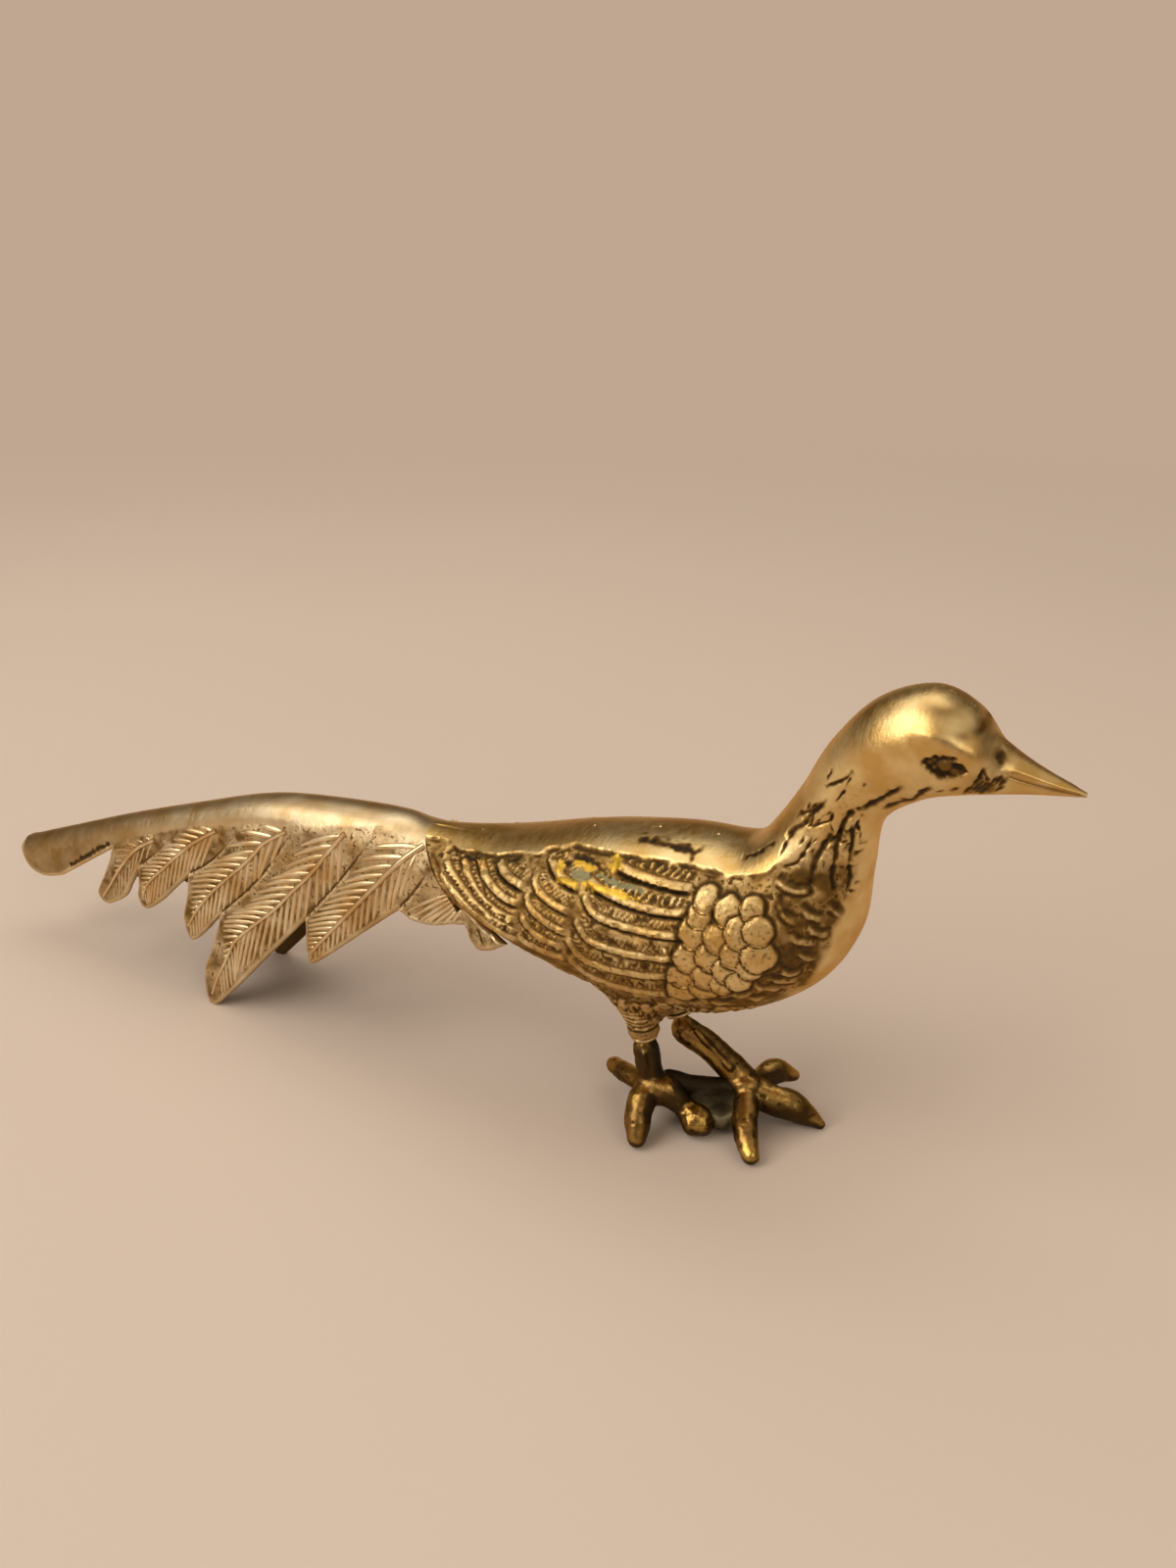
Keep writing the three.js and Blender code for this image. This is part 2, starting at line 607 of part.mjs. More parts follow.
function wholeTail() {
  const frontX = TAIL_RIDGE[0].x;
  const endX = TAIL_RIDGE[TAIL_RIDGE.length - 1].x;
  let arch = tailArch(frontX, endX, 0);
  FEATHERS.forEach((feather, i) => {
    const height = FEATHER_STEP * (FEATHERS.length - i);
    arch = arch.add(tailArch(frontX, endX, -height).intersect(sidePrism(aheadOf(feather, frontX))));
  });
  const bodyWithGap = bodySolid(0, BODY_STATIONS.length - 1, -(WING_RAISED + JOINT_GAP));
  return arch
    .subtract(tailArch(frontX + TAIL_RING_STEP, TAIL_HOLLOW_END_X, TAIL_WALL))
    .intersect(sidePrism(tailOutline()))
    .subtract(bodyWithGap)
    .subtract(BELOW_GROUND);
}

const TAIL = wholeTail();

// Filler web between the two feet, standing on the ground, clear of both.
function footBridge() {
  const { from, to, radius } = BRIDGE;
  const middle = from.map((c, i) => (c + to[i]) / 2);
  return limb([from, middle, to], [radius, radius, radius])
    .subtract(BELOW_GROUND)
    .subtract(legSolid(RIGHT_LEG, FILLER_GAP))
    .subtract(legSolid(LEFT_LEG, FILLER_GAP));
}

// Filler laid along the inside of the body's seam: side 0 is the back, 1 the breast and belly.
function bodySeamBead(side) {
  const points = [];
  const inset = BODY_WALL + FILLER_GAP + BEAD_RADIUS;
  const first = HOLLOW_FIRST + BEAD_FIRST;
  const last = HOLLOW_LAST - BEAD_LAST;
  for (let place = first; place < last; place += 1 / STEPS_PER_STATION) {
    points.push(bodySection(place, inset)[side * SECTION_STEPS].toArray());
  }
  return limb(points, points.map(() => BEAD_RADIUS), 0, BEAD_SIDES, 1)
    .intersect(bodySolid(HOLLOW_FIRST, HOLLOW_LAST, BODY_WALL + FILLER_GAP));
}

function tailSeamBead() {
  const points = [];
  const start = BODY_STATIONS[0].top[0] - BEAD_SETBACK;
  const end = TAIL_HOLLOW_END_X + BEAD_SETBACK;
  for (let i = 0; i <= TAIL_BEAD_STEPS; i++) {
    const x = start + ((end - start) * i) / TAIL_BEAD_STEPS;
    points.push([x, 0, ridgeAt(x).z - TAIL_WALL - 2 * FILLER_GAP - BEAD_RADIUS]);
  }
  return limb(points, points.map(() => BEAD_RADIUS), 0, BEAD_SIDES, 2);
}

const BRASS = { color: 0xb08a4a, metalness: 1, roughness: 0.35 };
const DARK_BRASS = { color: 0x6b5430, metalness: 1, roughness: 0.45 };
const FILLER = { color: 0xc2a35e, metalness: 1, roughness: 0.5 };
const GREY_FILLER = { color: 0x5a5a52, metalness: 0.8, roughness: 0.6 };

const bird = new THREE.Group();
function addPiece(name, solid, look) {
  const mesh = new THREE.Mesh(geometryOf(solid), new THREE.MeshStandardMaterial(look));
  mesh.name = name;
  bird.add(mesh);
}

addPiece('right_body_shell', bodyShell(RIGHT_LEG, RIGHT, -1), BRASS);
addPiece('left_body_shell', bodyShell(LEFT_LEG, LEFT, 1), BRASS);
addPiece('right_tail_panel', TAIL.intersect(RIGHT), BRASS);
addPiece('left_tail_panel', TAIL.intersect(LEFT), BRASS);
addPiece('right_leg', legSolid(RIGHT_LEG), DARK_BRASS);
addPiece('left_leg', legSolid(LEFT_LEG), DARK_BRASS);
addPiece('right_leg_braze_ring', brazeRing(RIGHT_LEG), FILLER);
addPiece('left_leg_braze_ring', brazeRing(LEFT_LEG), FILLER);
addPiece('foot_bridge', footBridge(), GREY_FILLER);
addPiece('back_seam_bead', bodySeamBead(0), FILLER);
addPiece('belly_seam_bead', bodySeamBead(1), FILLER);
addPiece('tail_seam_bead', tailSeamBead(), FILLER);

const BEAK_TIP_X = BODY_STATIONS[BODY_STATIONS.length - 1].top[0];
bird.position.x = -(TAIL_END_X + BEAK_TIP_X) / 2;

export default bird;
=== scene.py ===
# Cast brass pheasant ornament: the visible surfaces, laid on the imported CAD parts.
# Shapes are worked out in millimetres, in a side view whose x is counted from the feet.
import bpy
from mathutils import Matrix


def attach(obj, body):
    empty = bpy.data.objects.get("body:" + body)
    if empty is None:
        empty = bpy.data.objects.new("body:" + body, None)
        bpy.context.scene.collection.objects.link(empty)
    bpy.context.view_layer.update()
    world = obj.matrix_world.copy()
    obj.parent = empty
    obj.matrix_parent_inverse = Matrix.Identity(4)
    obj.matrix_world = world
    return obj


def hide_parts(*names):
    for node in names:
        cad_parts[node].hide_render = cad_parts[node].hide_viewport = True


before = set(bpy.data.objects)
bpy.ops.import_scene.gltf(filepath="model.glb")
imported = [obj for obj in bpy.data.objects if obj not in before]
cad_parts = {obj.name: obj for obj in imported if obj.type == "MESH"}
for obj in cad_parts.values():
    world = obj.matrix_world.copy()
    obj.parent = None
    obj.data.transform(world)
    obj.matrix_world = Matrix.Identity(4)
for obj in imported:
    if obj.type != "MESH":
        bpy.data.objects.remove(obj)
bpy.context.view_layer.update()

import math

import bmesh
import bpy
import numpy as np
from mathutils import Vector
from mathutils.geometry import delaunay_2d_cdt

MM = 0.001
FEET_X = 81.35  # from the feet to the CAD frame's origin, along x
RIGHT, LEFT = -1, 1

# Back line x and z, belly line x and z, and half width, from the rump to the beak's tip
BODY = np.array([
    (-82, 66, -62, 45, 13.4), (-60, 68.6, -44, 41, 19.2), (-37, 75, -26, 35.6, 21.5),
    (-14, 79.3, -7, 35, 22), (0, 80, 10, 40.5, 21), (5.6, 82.2, 24, 50.6, 18),
    (9.8, 87.6, 31, 64, 13.5), (15, 96.5, 32.1, 79, 10.2), (20.5, 107.8, 33.5, 91.8, 9.5),
    (29, 118.2, 41.2, 98.6, 11), (40, 122.8, 49, 101.4, 11.5), (48.8, 120, 54.5, 102.5, 9.5),
    (54.4, 114.3, 58, 102.9, 6), (61.5, 110, 63, 103.6, 3.6), (72.3, 105.4, 72.3, 104.6, 0.8),
], float)
BODY_FULLNESS = 0.88
BODY_WALL = 2.4
HOLLOW_FROM, HOLLOW_TO = 0.12, 11

# Tail ridge x, z and the radius that rounds it
TAIL = np.array([
    (-40, 73, 13.5), (-59, 68.6, 13), (-82, 66, 11.5), (-94, 67.4, 10), (-117, 66.2, 8),
    (-137, 63.2, 7), (-163, 55.2, 6.2), (-191, 45.8, 5.6), (-212, 38, 5.2), (-240, 27.6, 5),
], float)
TAIL_FLARE = math.radians(10.5)
TAIL_WALL = 2.2
TAIL_SOLID_FROM = -212
TAIL_END_X = -235


def in_frame(points):
    """Points in mm from the feet, as places in the CAD's frame in metres."""
    return (points + np.array([FEET_X, 0, 0])) * MM


def through(points, steps=6):
    """A smooth line through points, with so many steps between two of them."""
    points = np.asarray(points, float)
    last = len(points) - 1
    return curve(points, np.linspace(0, last, last * steps + 1))


def curve(points, place):
    """Rows of points read smoothly at places counted in rows."""
    last = len(points) - 1
    row = np.minimum(np.floor(place).astype(int), last - 1)
    share = (place - row)[..., None]
    before = points[np.where(row == 0, row, row - 1)]
    start, end = points[row], points[row + 1]
    after = points[np.where(row > last - 2, last, row + 2)]
    leave, arrive = (end - before) / 2, (after - start) / 2
    cubic = (2 * start - 2 * end + leave + arrive) * share**3
    square = (3 * end - 3 * start - 2 * leave - arrive) * share**2
    return cubic + square + leave * share + start


def ramp(value, low, high):
    """0 below low, 1 above high, smooth between."""
    share = np.clip((value - low) / (high - low), 0, 1)
    return share * share * (3 - 2 * share)


def bump(distance, width):
    return np.exp(-((distance / width) ** 2))


def grain(points, size, seed):
    """Smooth random values from -1 to 1 with one bump for each size in mm."""
    place = np.asarray(points, float) / size
    cell = np.floor(place).astype(np.int64)
    inside = place - cell
    eased = inside * inside * (3 - 2 * inside)
    total = np.zeros(place.shape[:-1])
    for corner in np.ndindex(2, 2, 2):
        key = cell + np.array(corner)
        mixed = key[..., 0] * 73856093 ^ key[..., 1] * 19349663 ^ key[..., 2] * 83492791
        mixed = (mixed ^ seed * 2654435761) & 0x7FFFFFFF
        mixed = (mixed ^ (mixed >> 13)) * 1274126177 & 0x7FFFFFFF
        value = ((mixed ^ (mixed >> 16)) & 0xFFFF) / 32767.5 - 1
        total += value * np.prod(np.where(corner, eased, 1 - eased), axis=-1)
    return total


def near(line, x, z, reach):
    """From each side-view point to a line: the gap, the travel along the line and the side."""
    line = np.asarray(line, float)
    gap = np.full(x.shape, 1e3)
    travel = np.zeros(x.shape)
    side = np.zeros(x.shape)
    run = 0.0
    for start, end in zip(line[:-1], line[1:]):
        low, high = np.minimum(start, end) - reach, np.maximum(start, end) + reach
        step = end - start
        length = math.hypot(*step)
        inside = np.flatnonzero((x > low[0]) & (x < high[0]) & (z > low[1]) & (z < high[1]))
        px, pz = x[inside] - start[0], z[inside] - start[1]
        share = np.clip((px * step[0] + pz * step[1]) / length**2, 0, 1)
        away = np.hypot(px - share * step[0], pz - share * step[1])
        closer = away < gap[inside]
        hit = inside[closer]
        gap[hit] = away[closer]
        travel[hit] = run + share[closer] * length
        side[hit] = np.sign(step[0] * pz - step[1] * px)[closer]
        run += length
    return gap, travel, side, run


def within(outline, x, z):
    """Which side-view points lie inside a closed outline."""
    outline = np.asarray(outline, float)
    inside = np.zeros(x.shape, bool)
    for (ax, az), (bx, bz) in zip(outline, np.roll(outline, -1, axis=0)):
        crosses = (az > z) != (bz > z)
        inside ^= crosses & (x < ax + (z - az) * (bx - ax) / ((bz - az) or 1e-9))
    return inside


RIM_WIDTH, RIM_HEIGHT = 1.9, 0.28  # the rolled lower edge of a flight feather, in mm


class Relief:
    """What the casting carries over a surface seen from the side, at each of its points."""

    def __init__(self, x, z, points):
        self.x, self.z, self.points = x, z, points
        self.height = np.zeros(x.shape)  # mm
        self.patina_and_shade = np.zeros(x.shape)  # 0 bright metal, 1 dark: patina in hollows, and painted shade in crevices and under edges
        self.cast = np.ones(x.shape)  # 0 ground smooth, 1 rough from the mould
        self.worn = np.zeros(x.shape)  # 1 where hands rub the high places bright
        self.gilt = np.zeros(x.shape)  # 1 where bright yellow is left
        self.verdigris = np.zeros(x.shape)  # 1 where the brass went grey-green

    def groove(self, line, width, depth, dark=1.0, ragged=0.0):
        gap, travel, _, run = near(line, self.x, self.z, 4 * width + ragged)
        gap = gap + ragged * grain(self.points, 1.1, 5)
        tip = ramp(travel, 0, 0.8) * (1 - ramp(travel, run - 0.8, run)) * 0.6 + 0.4
        cut = bump(np.maximum(gap, 0), width) * tip
        self.height -= depth * cut
        self.patina_and_shade = np.maximum(self.patina_and_shade, dark * cut)

    def rib(self, line, width, height, bare=0.0, taper=2.5):
        gap, travel, _, run = near(line, self.x, self.z, 4 * width)
        rise = bump(gap, width) * ramp(travel, 0, taper) * (1 - ramp(travel, run - taper, run))
        self.height += height * rise
        self.cast *= 1 - bare * rise
        self.worn = np.maximum(self.worn, rise)

    def feather(self, line, run_up, rise, barb, pitch, lean):
        """A flight feather whose lower edge is a line from the shoulder backwards."""
        gap, travel, side, run = near(line, self.x, self.z, run_up + 1)
        uneven = grain(self.points, 2.2, 17)
        ends = ramp(travel, 0, 2) * (1 - ramp(travel, run - 1.5, run))
        vane = ((side < 0) & (gap < run_up)) * ends
        up = np.where(vane > 0, gap, run_up)
        self.height += vane * rise * (1 - up / run_up) ** 0.8
        rolled = vane * np.sqrt(np.clip(1 - ((up - RIM_WIDTH / 2) / (RIM_WIDTH / 2)) ** 2, 0, 1))
        crumbs = grain(self.points, 1.15, 19) + 0.5 * grain(self.points, 0.75, 20)
        self.height += RIM_HEIGHT * rolled * (1 + 0.45 * crumbs)
        crease = vane * bump(up - RIM_WIDTH - 0.15, 0.3)
        teeth = np.sin(2 * math.pi * (travel + 0.5 * uneven + lean * up) / pitch)
        field = vane * ramp(up, RIM_WIDTH, RIM_WIDTH + 0.6)
        field = field * (1 - ramp(up, run_up - 1.0, run_up - 0.3))
        ladder = barb * teeth * (0.7 + 0.3 * uneven)
        self.height += field * (ladder + 0.34 * crumbs) - 0.15 * crease
        # Painted shade: the strip just under each feather's lower edge is made dark.
        under = np.where((side > 0) | (gap < 0.3), ends, 0)
        shade = under * bump(np.maximum(gap - 0.2, 0), 0.5 + 0.2 * uneven)
        self.height -= 0.35 * shade
        blocky = min(barb / 0.3, 1)
        between = 0.85 * blocky * ramp(-teeth, -0.1, 0.8)
        pitted = field * np.maximum(between, 0.85 * ramp(-crumbs, 0.1, 0.75))
        dark = np.maximum(pitted, np.maximum(0.6 * crease, shade))
        self.patina_and_shade = np.maximum(self.patina_and_shade, dark)
        bright = np.maximum(blocky * ramp(teeth, 0.2, 0.9), ramp(crumbs, 0.1, 0.7))
        rubbed = np.maximum(rolled * (0.8 + 0.4 * crumbs), 0.9 * field * bright)
        self.worn = np.maximum(self.worn, rubbed)
        self.cast *= 1 - 0.2 * rolled

    def scales(self, centres, half_length, half_height, height, lean, front):
        """Overlapping rounded scales: each one lies over those behind it."""
        best = np.full(self.x.shape, -9.0)
        top = np.zeros(self.x.shape)
        lap = np.zeros(self.x.shape)  # 1 in the shade below a scale's free edge
        wobble = 0.16 * grain(self.points, 1.8, 23)
        turn = math.radians(lean)
        for x, z, size in sorted(centres, key=lambda centre: np.dot(centre[:2], front)):
            dx, dz = self.x - x, self.z - z
            u = (dx * math.cos(turn) + dz * math.sin(turn)) / (half_length * size)
            v = (dz * math.cos(turn) - dx * math.sin(turn)) / (half_height * size)
            dome = 1 - u * u - v * v + wobble
            raised = 0.6 + 0.25 * dome - 0.3 * (front[0] * u + front[1] * v)
            top = np.where(dome > 0, np.sqrt(np.clip(dome / 0.45, 0, 1)) * raised, top)
            lap = np.where(dome > 0, 0, np.maximum(lap, 1 - ramp(-dome, 0.05, 0.35)))
            best = np.maximum(best, dome)
        # Painted shade: the crevices between scales and the strip below each scale's free edge are
        # made dark.
        crevice = (1 - ramp(best, 0.0, 0.25)) * ramp(best, -0.7, -0.1)
        lap *= best > 0
        self.height += height * top - 0.3 * np.maximum(crevice, 0.8 * lap)
        self.patina_and_shade = np.maximum(self.patina_and_shade, np.maximum(0.95 * crevice, 0.8 * lap))
        self.worn = np.maximum(self.worn, ramp(best, 0.12, 0.5) * (1 - 0.6 * lap))

    def stain(self, x, z, half_length, half_height, depth):
        """A dark patch of old tarnish; on the crown's top, a painted dark reflection."""
        reach = np.hypot((self.x - x) / half_length, (self.z - z) / half_height)
        patch = bump(reach, 1.0) * (0.75 + 0.5 * grain(self.points, 1.6, 31))
        self.patina_and_shade = np.maximum(self.patina_and_shade, np.clip(depth * patch, 0, 1))

    def patch(self, x, z, half_length, half_height):
        """1 inside a small ragged patch."""
        reach = np.hypot((self.x - x) / half_length, (self.z - z) / half_height)
        ragged = 0.5 * grain(self.points, 1.1, 41) + 0.4 * grain(self.points, 0.6, 43)
        return 1 - ramp(reach + ragged, 0.75, 1.0)

    def tarnish(self, amount, seed, cloudy=0.6):
        """Brown tarnish on the rough ground that hands don't reach."""
        cloud = 0.75 * grain(self.points, 3.2, seed + 3) + 0.45 * grain(self.points, 1.3, seed + 8)
        cloud = 0.7 + cloudy * cloud
        self.patina_and_shade = np.maximum(self.patina_and_shade, np.clip(amount * cloud, 0, 1) * (1 - self.worn))

    def roughen(self, coarse, fine, seed, pitted=0.85):
        """Sand marks and pits of the mould, where the surface wasn't ground."""
        marks = coarse * grain(self.points, 1.5, seed) + fine * grain(self.points, 0.7, seed + 1)
        self.height += marks * self.cast
        pits = ramp(grain(self.points, 1.0, seed + 2), 0.3, 0.7) * self.cast * (1 - self.worn)
        self.height -= 0.16 * pitted * pits
        self.patina_and_shade = np.maximum(self.patina_and_shade, pitted * pits)


# Body surface
def body_section(place):
    row = curve(BODY, place)
    return row[..., 0:2], row[..., 2:4], row[..., 4]


def body_point(place, angle, side, inset=0.0):
    """A point of the body's surface, from the back at angle 0 to the belly at angle pi."""
    top, bottom, half = body_section(place)
    middle, up = (top + bottom) / 2, (top - bottom) / 2
    reach = np.linalg.norm(up, axis=-1, keepdims=True)
    up = up * (reach - inset) / reach
    flat = middle + up * np.cos(angle)[..., None]
    across = side * np.abs(np.sin(angle)) ** BODY_FULLNESS * (half - inset)
    return np.stack([flat[..., 0], across, flat[..., 1]], axis=-1)


# Outline of the raised wing
WING_EDGE = [
    (-77, 62.5), (-62, 64), (-50, 66.5), (-37, 69), (-24, 72), (-6, 74), (9, 75.5), (15, 72),
    (18.5, 65), (17, 56), (9, 48), (-2, 43.5), (-14, 41), (-30, 41.5), (-48, 44.5), (-64, 49),
    (-73, 58),
]
# Lower edges of the wing's flight feathers, each from its front end backwards
FLIGHT_FEATHERS = [
    [(-5, 47.6), (-9, 46.2), (-14, 45.4), (-20, 45.2), (-26, 46), (-30, 48), (-33, 51)],
    [(-4, 53.2), (-8, 52), (-14, 50.8), (-20, 50.3), (-26, 50.6), (-29.5, 51.9), (-33.3, 56)],
    [(-3.5, 57.6), (-8, 56.6), (-14, 56), (-20, 55.8), (-25, 56.2), (-28, 57.4), (-31.5, 61.5)],
    [(-3, 63), (-8, 62.3), (-14, 62), (-20, 62), (-24.5, 62.5), (-27.5, 63.8), (-30.5, 67)],
    [(-3, 68), (-8, 67.2), (-14, 66.9), (-20, 67.2), (-26, 68.1), (-30, 69.5)],
    [(-3, 72.6), (-8, 72.3), (-14, 72.3), (-20, 72.5), (-24, 73)],
    [(-32, 49.8), (-36, 49.4), (-40, 49.8), (-44, 50.8), (-47, 52.8)],
    [(-33, 52.8), (-37, 53), (-41, 54), (-44, 56), (-46, 58.6)],
    [(-32, 56.6), (-36, 57.2), (-40, 58.4), (-43, 60), (-44.6, 61.8), (-45.7, 64)],
    [(-31.5, 61.6), (-35, 62), (-39, 62.9), (-42, 64.2), (-43.8, 65.8), (-45, 67.8)],
    [(-30.5, 67), (-34, 67.3), (-38, 68.3), (-41, 69.6), (-43, 71.4)],
    [(-46, 50.2), (-52, 50.8), (-57, 51.7), (-63, 53.6), (-70, 56.5), (-74, 58.6)],
    [(-46, 52.8), (-52, 53.4), (-57, 54.6), (-62, 56.2), (-66, 58), (-70, 60), (-73, 62)],
    [(-46, 56), (-50, 56), (-55, 57), (-59, 58.4), (-63, 60.6), (-66.5, 63), (-69, 65)],
    [(-45.5, 60), (-50, 60), (-55, 61.4), (-59, 63), (-62.5, 65), (-64.5, 66.5)],
    [(-45, 63.5), (-50, 64), (-54, 65), (-57, 66.6)],
]
# Shoulder scales: x, z and size
SHOULDER_SCALES = [
    (0, 72.5, 0.8), (-0.7, 69.3, 0.8), (-1.2, 65.6, 1.05), (4.6, 65.4, 1), (5.3, 71, 0.95),
    (9, 67.3, 1), (8.6, 62.3, 1), (13.4, 62.2, 1.05), (12.6, 68, 0.9), (3.2, 60.6, 1),
    (-1.7, 59.6, 1.1), (7, 58, 0.95), (11.6, 58.9, 0.8), (2.4, 55.4, 0.95), (-3.7, 54.8, 0.95),
    (9.2, 55.2, 0.8), (-3.8, 50.1, 1.05), (1.6, 51.5, 0.9), (5.6, 53.4, 0.75), (10.5, 72.3, 0.8),
]
# Bright lower rims of the breast's small feathers
BREAST_RIMS = [
    [(15, 75), (16.4, 72.4), (18.4, 70.6), (20.4, 70)],
    [(20.2, 73.6), (21.6, 72), (23.6, 70.9), (25.2, 70.8)],
    [(25.5, 74), (27, 72.4), (28.6, 71), (29.6, 70.2)],
    [(22, 69.6), (23, 68), (25, 67), (27, 67.2)],
    [(18.8, 67.2), (20.4, 65.8), (22.6, 65.1), (24.2, 65.4)],
    [(20.4, 63.6), (21.8, 61.8), (23.4, 60.9), (24.8, 61.2)],
    [(17.2, 60), (18, 58), (19.8, 56.8), (21.4, 57.8), (22, 59.8)],
    [(23, 58.6), (24, 56.6), (25.6, 55.8)],
    [(15.4, 57), (16.4, 55.2), (18.4, 54.5), (20.4, 54.8)],
    [(12.2, 54.6), (13.8, 53), (16, 52.4), (18.4, 52.6)],
    [(6.6, 50.4), (8.4, 50.2), (10.4, 50.8), (12, 52.2)],
    [(10, 49), (12, 48.4), (14.6, 49.2)],
    [(2, 47.6), (4, 46.8), (6.4, 47.2), (8, 48.4)],
    [(14, 78.6), (17, 77.2), (20, 77), (22.4, 77.8)],
]
# Dark cuts between the neck's long feathers: line, width, depth
NECK_CUTS = [
    ([(14.6, 87.6), (16.4, 89.8), (18.4, 91.6), (19.4, 94), (21.4, 96), (22.4, 97.4)], 0.5, 0.5),
    ([(16, 92.2), (17.8, 93.4), (19.6, 94)], 0.4, 0.35),
    ([(13.8, 83.4), (14.6, 85.6), (15.6, 88.6)], 0.25, 0.3),
    ([(22, 100.4), (24.4, 102), (26.4, 103.6), (27.6, 105.2)], 0.35, 0.35),
    ([(24.8, 98), (26.2, 100.6), (27, 103), (28, 105)], 0.22, 0.25),
    ([(22.2, 102), (22.8, 104)], 0.25, 0.25),
    ([(29.4, 101), (30.6, 103.2)], 0.22, 0.25),
    ([(24, 88), (26, 90.6), (27, 93.4), (28.4, 96.4)], 0.5, 0.55),
    ([(30.4, 97), (32.6, 99), (35, 101), (37.6, 103.6)], 0.55, 0.5),
    ([(34.6, 97.4), (37.6, 99.4), (40, 100.2), (41.4, 102.4), (43.4, 104.8)], 0.5, 0.35),
    ([(37.8, 100.6), (39.4, 100.2)], 0.4, 0.3),
    ([(20.4, 88.6), (19.2, 85.4), (17.6, 82.8), (15, 81.4)], 0.3, 0.35),
    ([(24.6, 90.4), (22.8, 86.6), (21.8, 83), (21.6, 79.4), (22.2, 76)], 0.75, 0.6),
    ([(26.6, 92), (26, 88), (25.8, 84), (26, 80), (27, 77)], 0.6, 0.6),
    ([(28.6, 92.4), (28.9, 88), (28.5, 84), (29.3, 80), (28.6, 77)], 0.4, 0.45),
    ([(30.4, 95.4), (29.4, 93), (30.2, 90.6), (29.6, 88)], 0.22, 0.25),
    ([(20.2, 91), (22.2, 92.4), (23.8, 93.2), (24.2, 95)], 0.28, 0.3),
    ([(23.8, 93), (24.8, 91), (27, 91)], 0.3, 0.3),
    ([(5, 80), (8, 81.6), (10, 83.6), (12, 85.4)], 0.3, 0.25),
    ([(30.2, 97), (28.6, 96.8)], 0.3, 0.3),
]
# Cuts left between the beak's root, the eye and the cheek: line, width, depth
FACE_CUTS = [
    ([(54.9, 112.8), (56, 111.6), (56.2, 110.4)], 0.55, 0.4),
    ([(53, 110.6), (53.8, 109), (54.6, 107.4)], 0.4, 0.35),
    ([(50.8, 105.4), (52.2, 107.2), (53.4, 109)], 0.4, 0.3),
    ([(49.9, 103.6), (51, 105.6)], 0.45, 0.3),
    ([(53.9, 104.8), (55.4, 107.2)], 0.45, 0.35),
    ([(56, 106), (57.4, 107.8)], 0.4, 0.35),
    ([(52.6, 103.4), (54, 105.4)], 0.4, 0.3),
    ([(50.2, 104.6), (51.8, 105.8), (53, 107.4)], 0.35, 0.3),
    ([(51.6, 104), (53.2, 105.6), (54.4, 107.6)], 0.35, 0.3),
    ([(54.6, 105.4), (56, 107.2), (56.6, 108.8)], 0.35, 0.3),
    ([(55.4, 104.6), (57, 106.2)], 0.3, 0.25),
    ([(52.4, 108.4), (53.8, 110.6)], 0.3, 0.25),
    ([(50.6, 103.6), (52.4, 105.8), (53.6, 108)], 0.25, 0.25),
    ([(53.2, 104.2), (54.8, 106.2), (55.6, 108.4)], 0.25, 0.25),
    ([(51.4, 106.4), (52.8, 108.4), (53.2, 110)], 0.25, 0.25),
    ([(47.6, 104.6), (49, 105.6)], 0.3, 0.25),
    ([(44.8, 103.6), (46, 104.4)], 0.25, 0.25),
]
MOUTH = [(57.4, 108.4), (60, 107.4), (64, 106.4), (68, 105.7), (71.8, 105.1)]
BROW = [
    (36, 116), (41, 116.6), (45, 115.9), (49, 114.2), (51.8, 112.2), (53, 109.8), (52.4, 107.4),
]
BEAK_RIM = [(57.4, 109.8), (60.5, 108.7), (64, 107.5), (68, 106.3), (71, 105.5)]
BLOCKY_BARBS = (4, 5)  # flight feathers near the back with coarser barbs
# Dark strokes between the back's feathers and the ground band
BACK_STROKES = [
    [(-30, 75), (-25, 75.4), (-20, 75.7), (-15, 76.3), (-10, 76.9), (-3, 77.2)],
    [(-36, 72.8), (-31, 73), (-27, 72.4)], [(-41, 71.2), (-38, 71.6), (-35, 70.9)],
    [(-70, 63.2), (-65, 65), (-61, 65.6)], [(-58, 66), (-54, 67.6), (-50, 68.4)],
]
# Dark strokes left along the top of the back
RIDGE_STROKES = [
    [(-21.5, 77.6), (-18, 78), (-15, 78.3), (-12, 78.5), (-9, 78.7), (-7, 78.5), (-5.4, 79)],
    [(-6.8, 78.2), (-6.2, 77.2)],
]
# Brown stains on the crown, round the beak's root and in the nostril, and a brown band along the
# crown's top that is a painted dark reflection: x, z, half length, half height and depth of
# colour
HEAD_STAINS = [
    (51.4, 117.2, 2.4, 1.3, 0.5), (48.6, 116.4, 1.6, 0.9, 0.35), (53.4, 106.6, 2.4, 2.6, 0.6),
    # The crown's top entry, (44, 120.6), is a painted dark reflection.
    (56.2, 111.4, 0.9, 1.2, 0.8), (54.4, 105.4, 2.6, 1.6, 0.45), (44, 120.6, 5, 1.2, 0.3),
]
# Bright yellow and grey-green spots on the right wing: x, z, half length and half height
GILT_SPOTS = [
    (-24, 73.8, 2.2, 1.2), (-24, 69.2, 8.5, 0.8), (-34, 68.3, 4.2, 0.8), (-31.5, 72, 3.6, 0.7),
    (-37.8, 70.3, 1.2, 1.5),
]
VERDIGRIS_SPOTS = [(-31.5, 70.3, 3.6, 1.5), (-21.5, 70.9, 6.8, 0.7)]
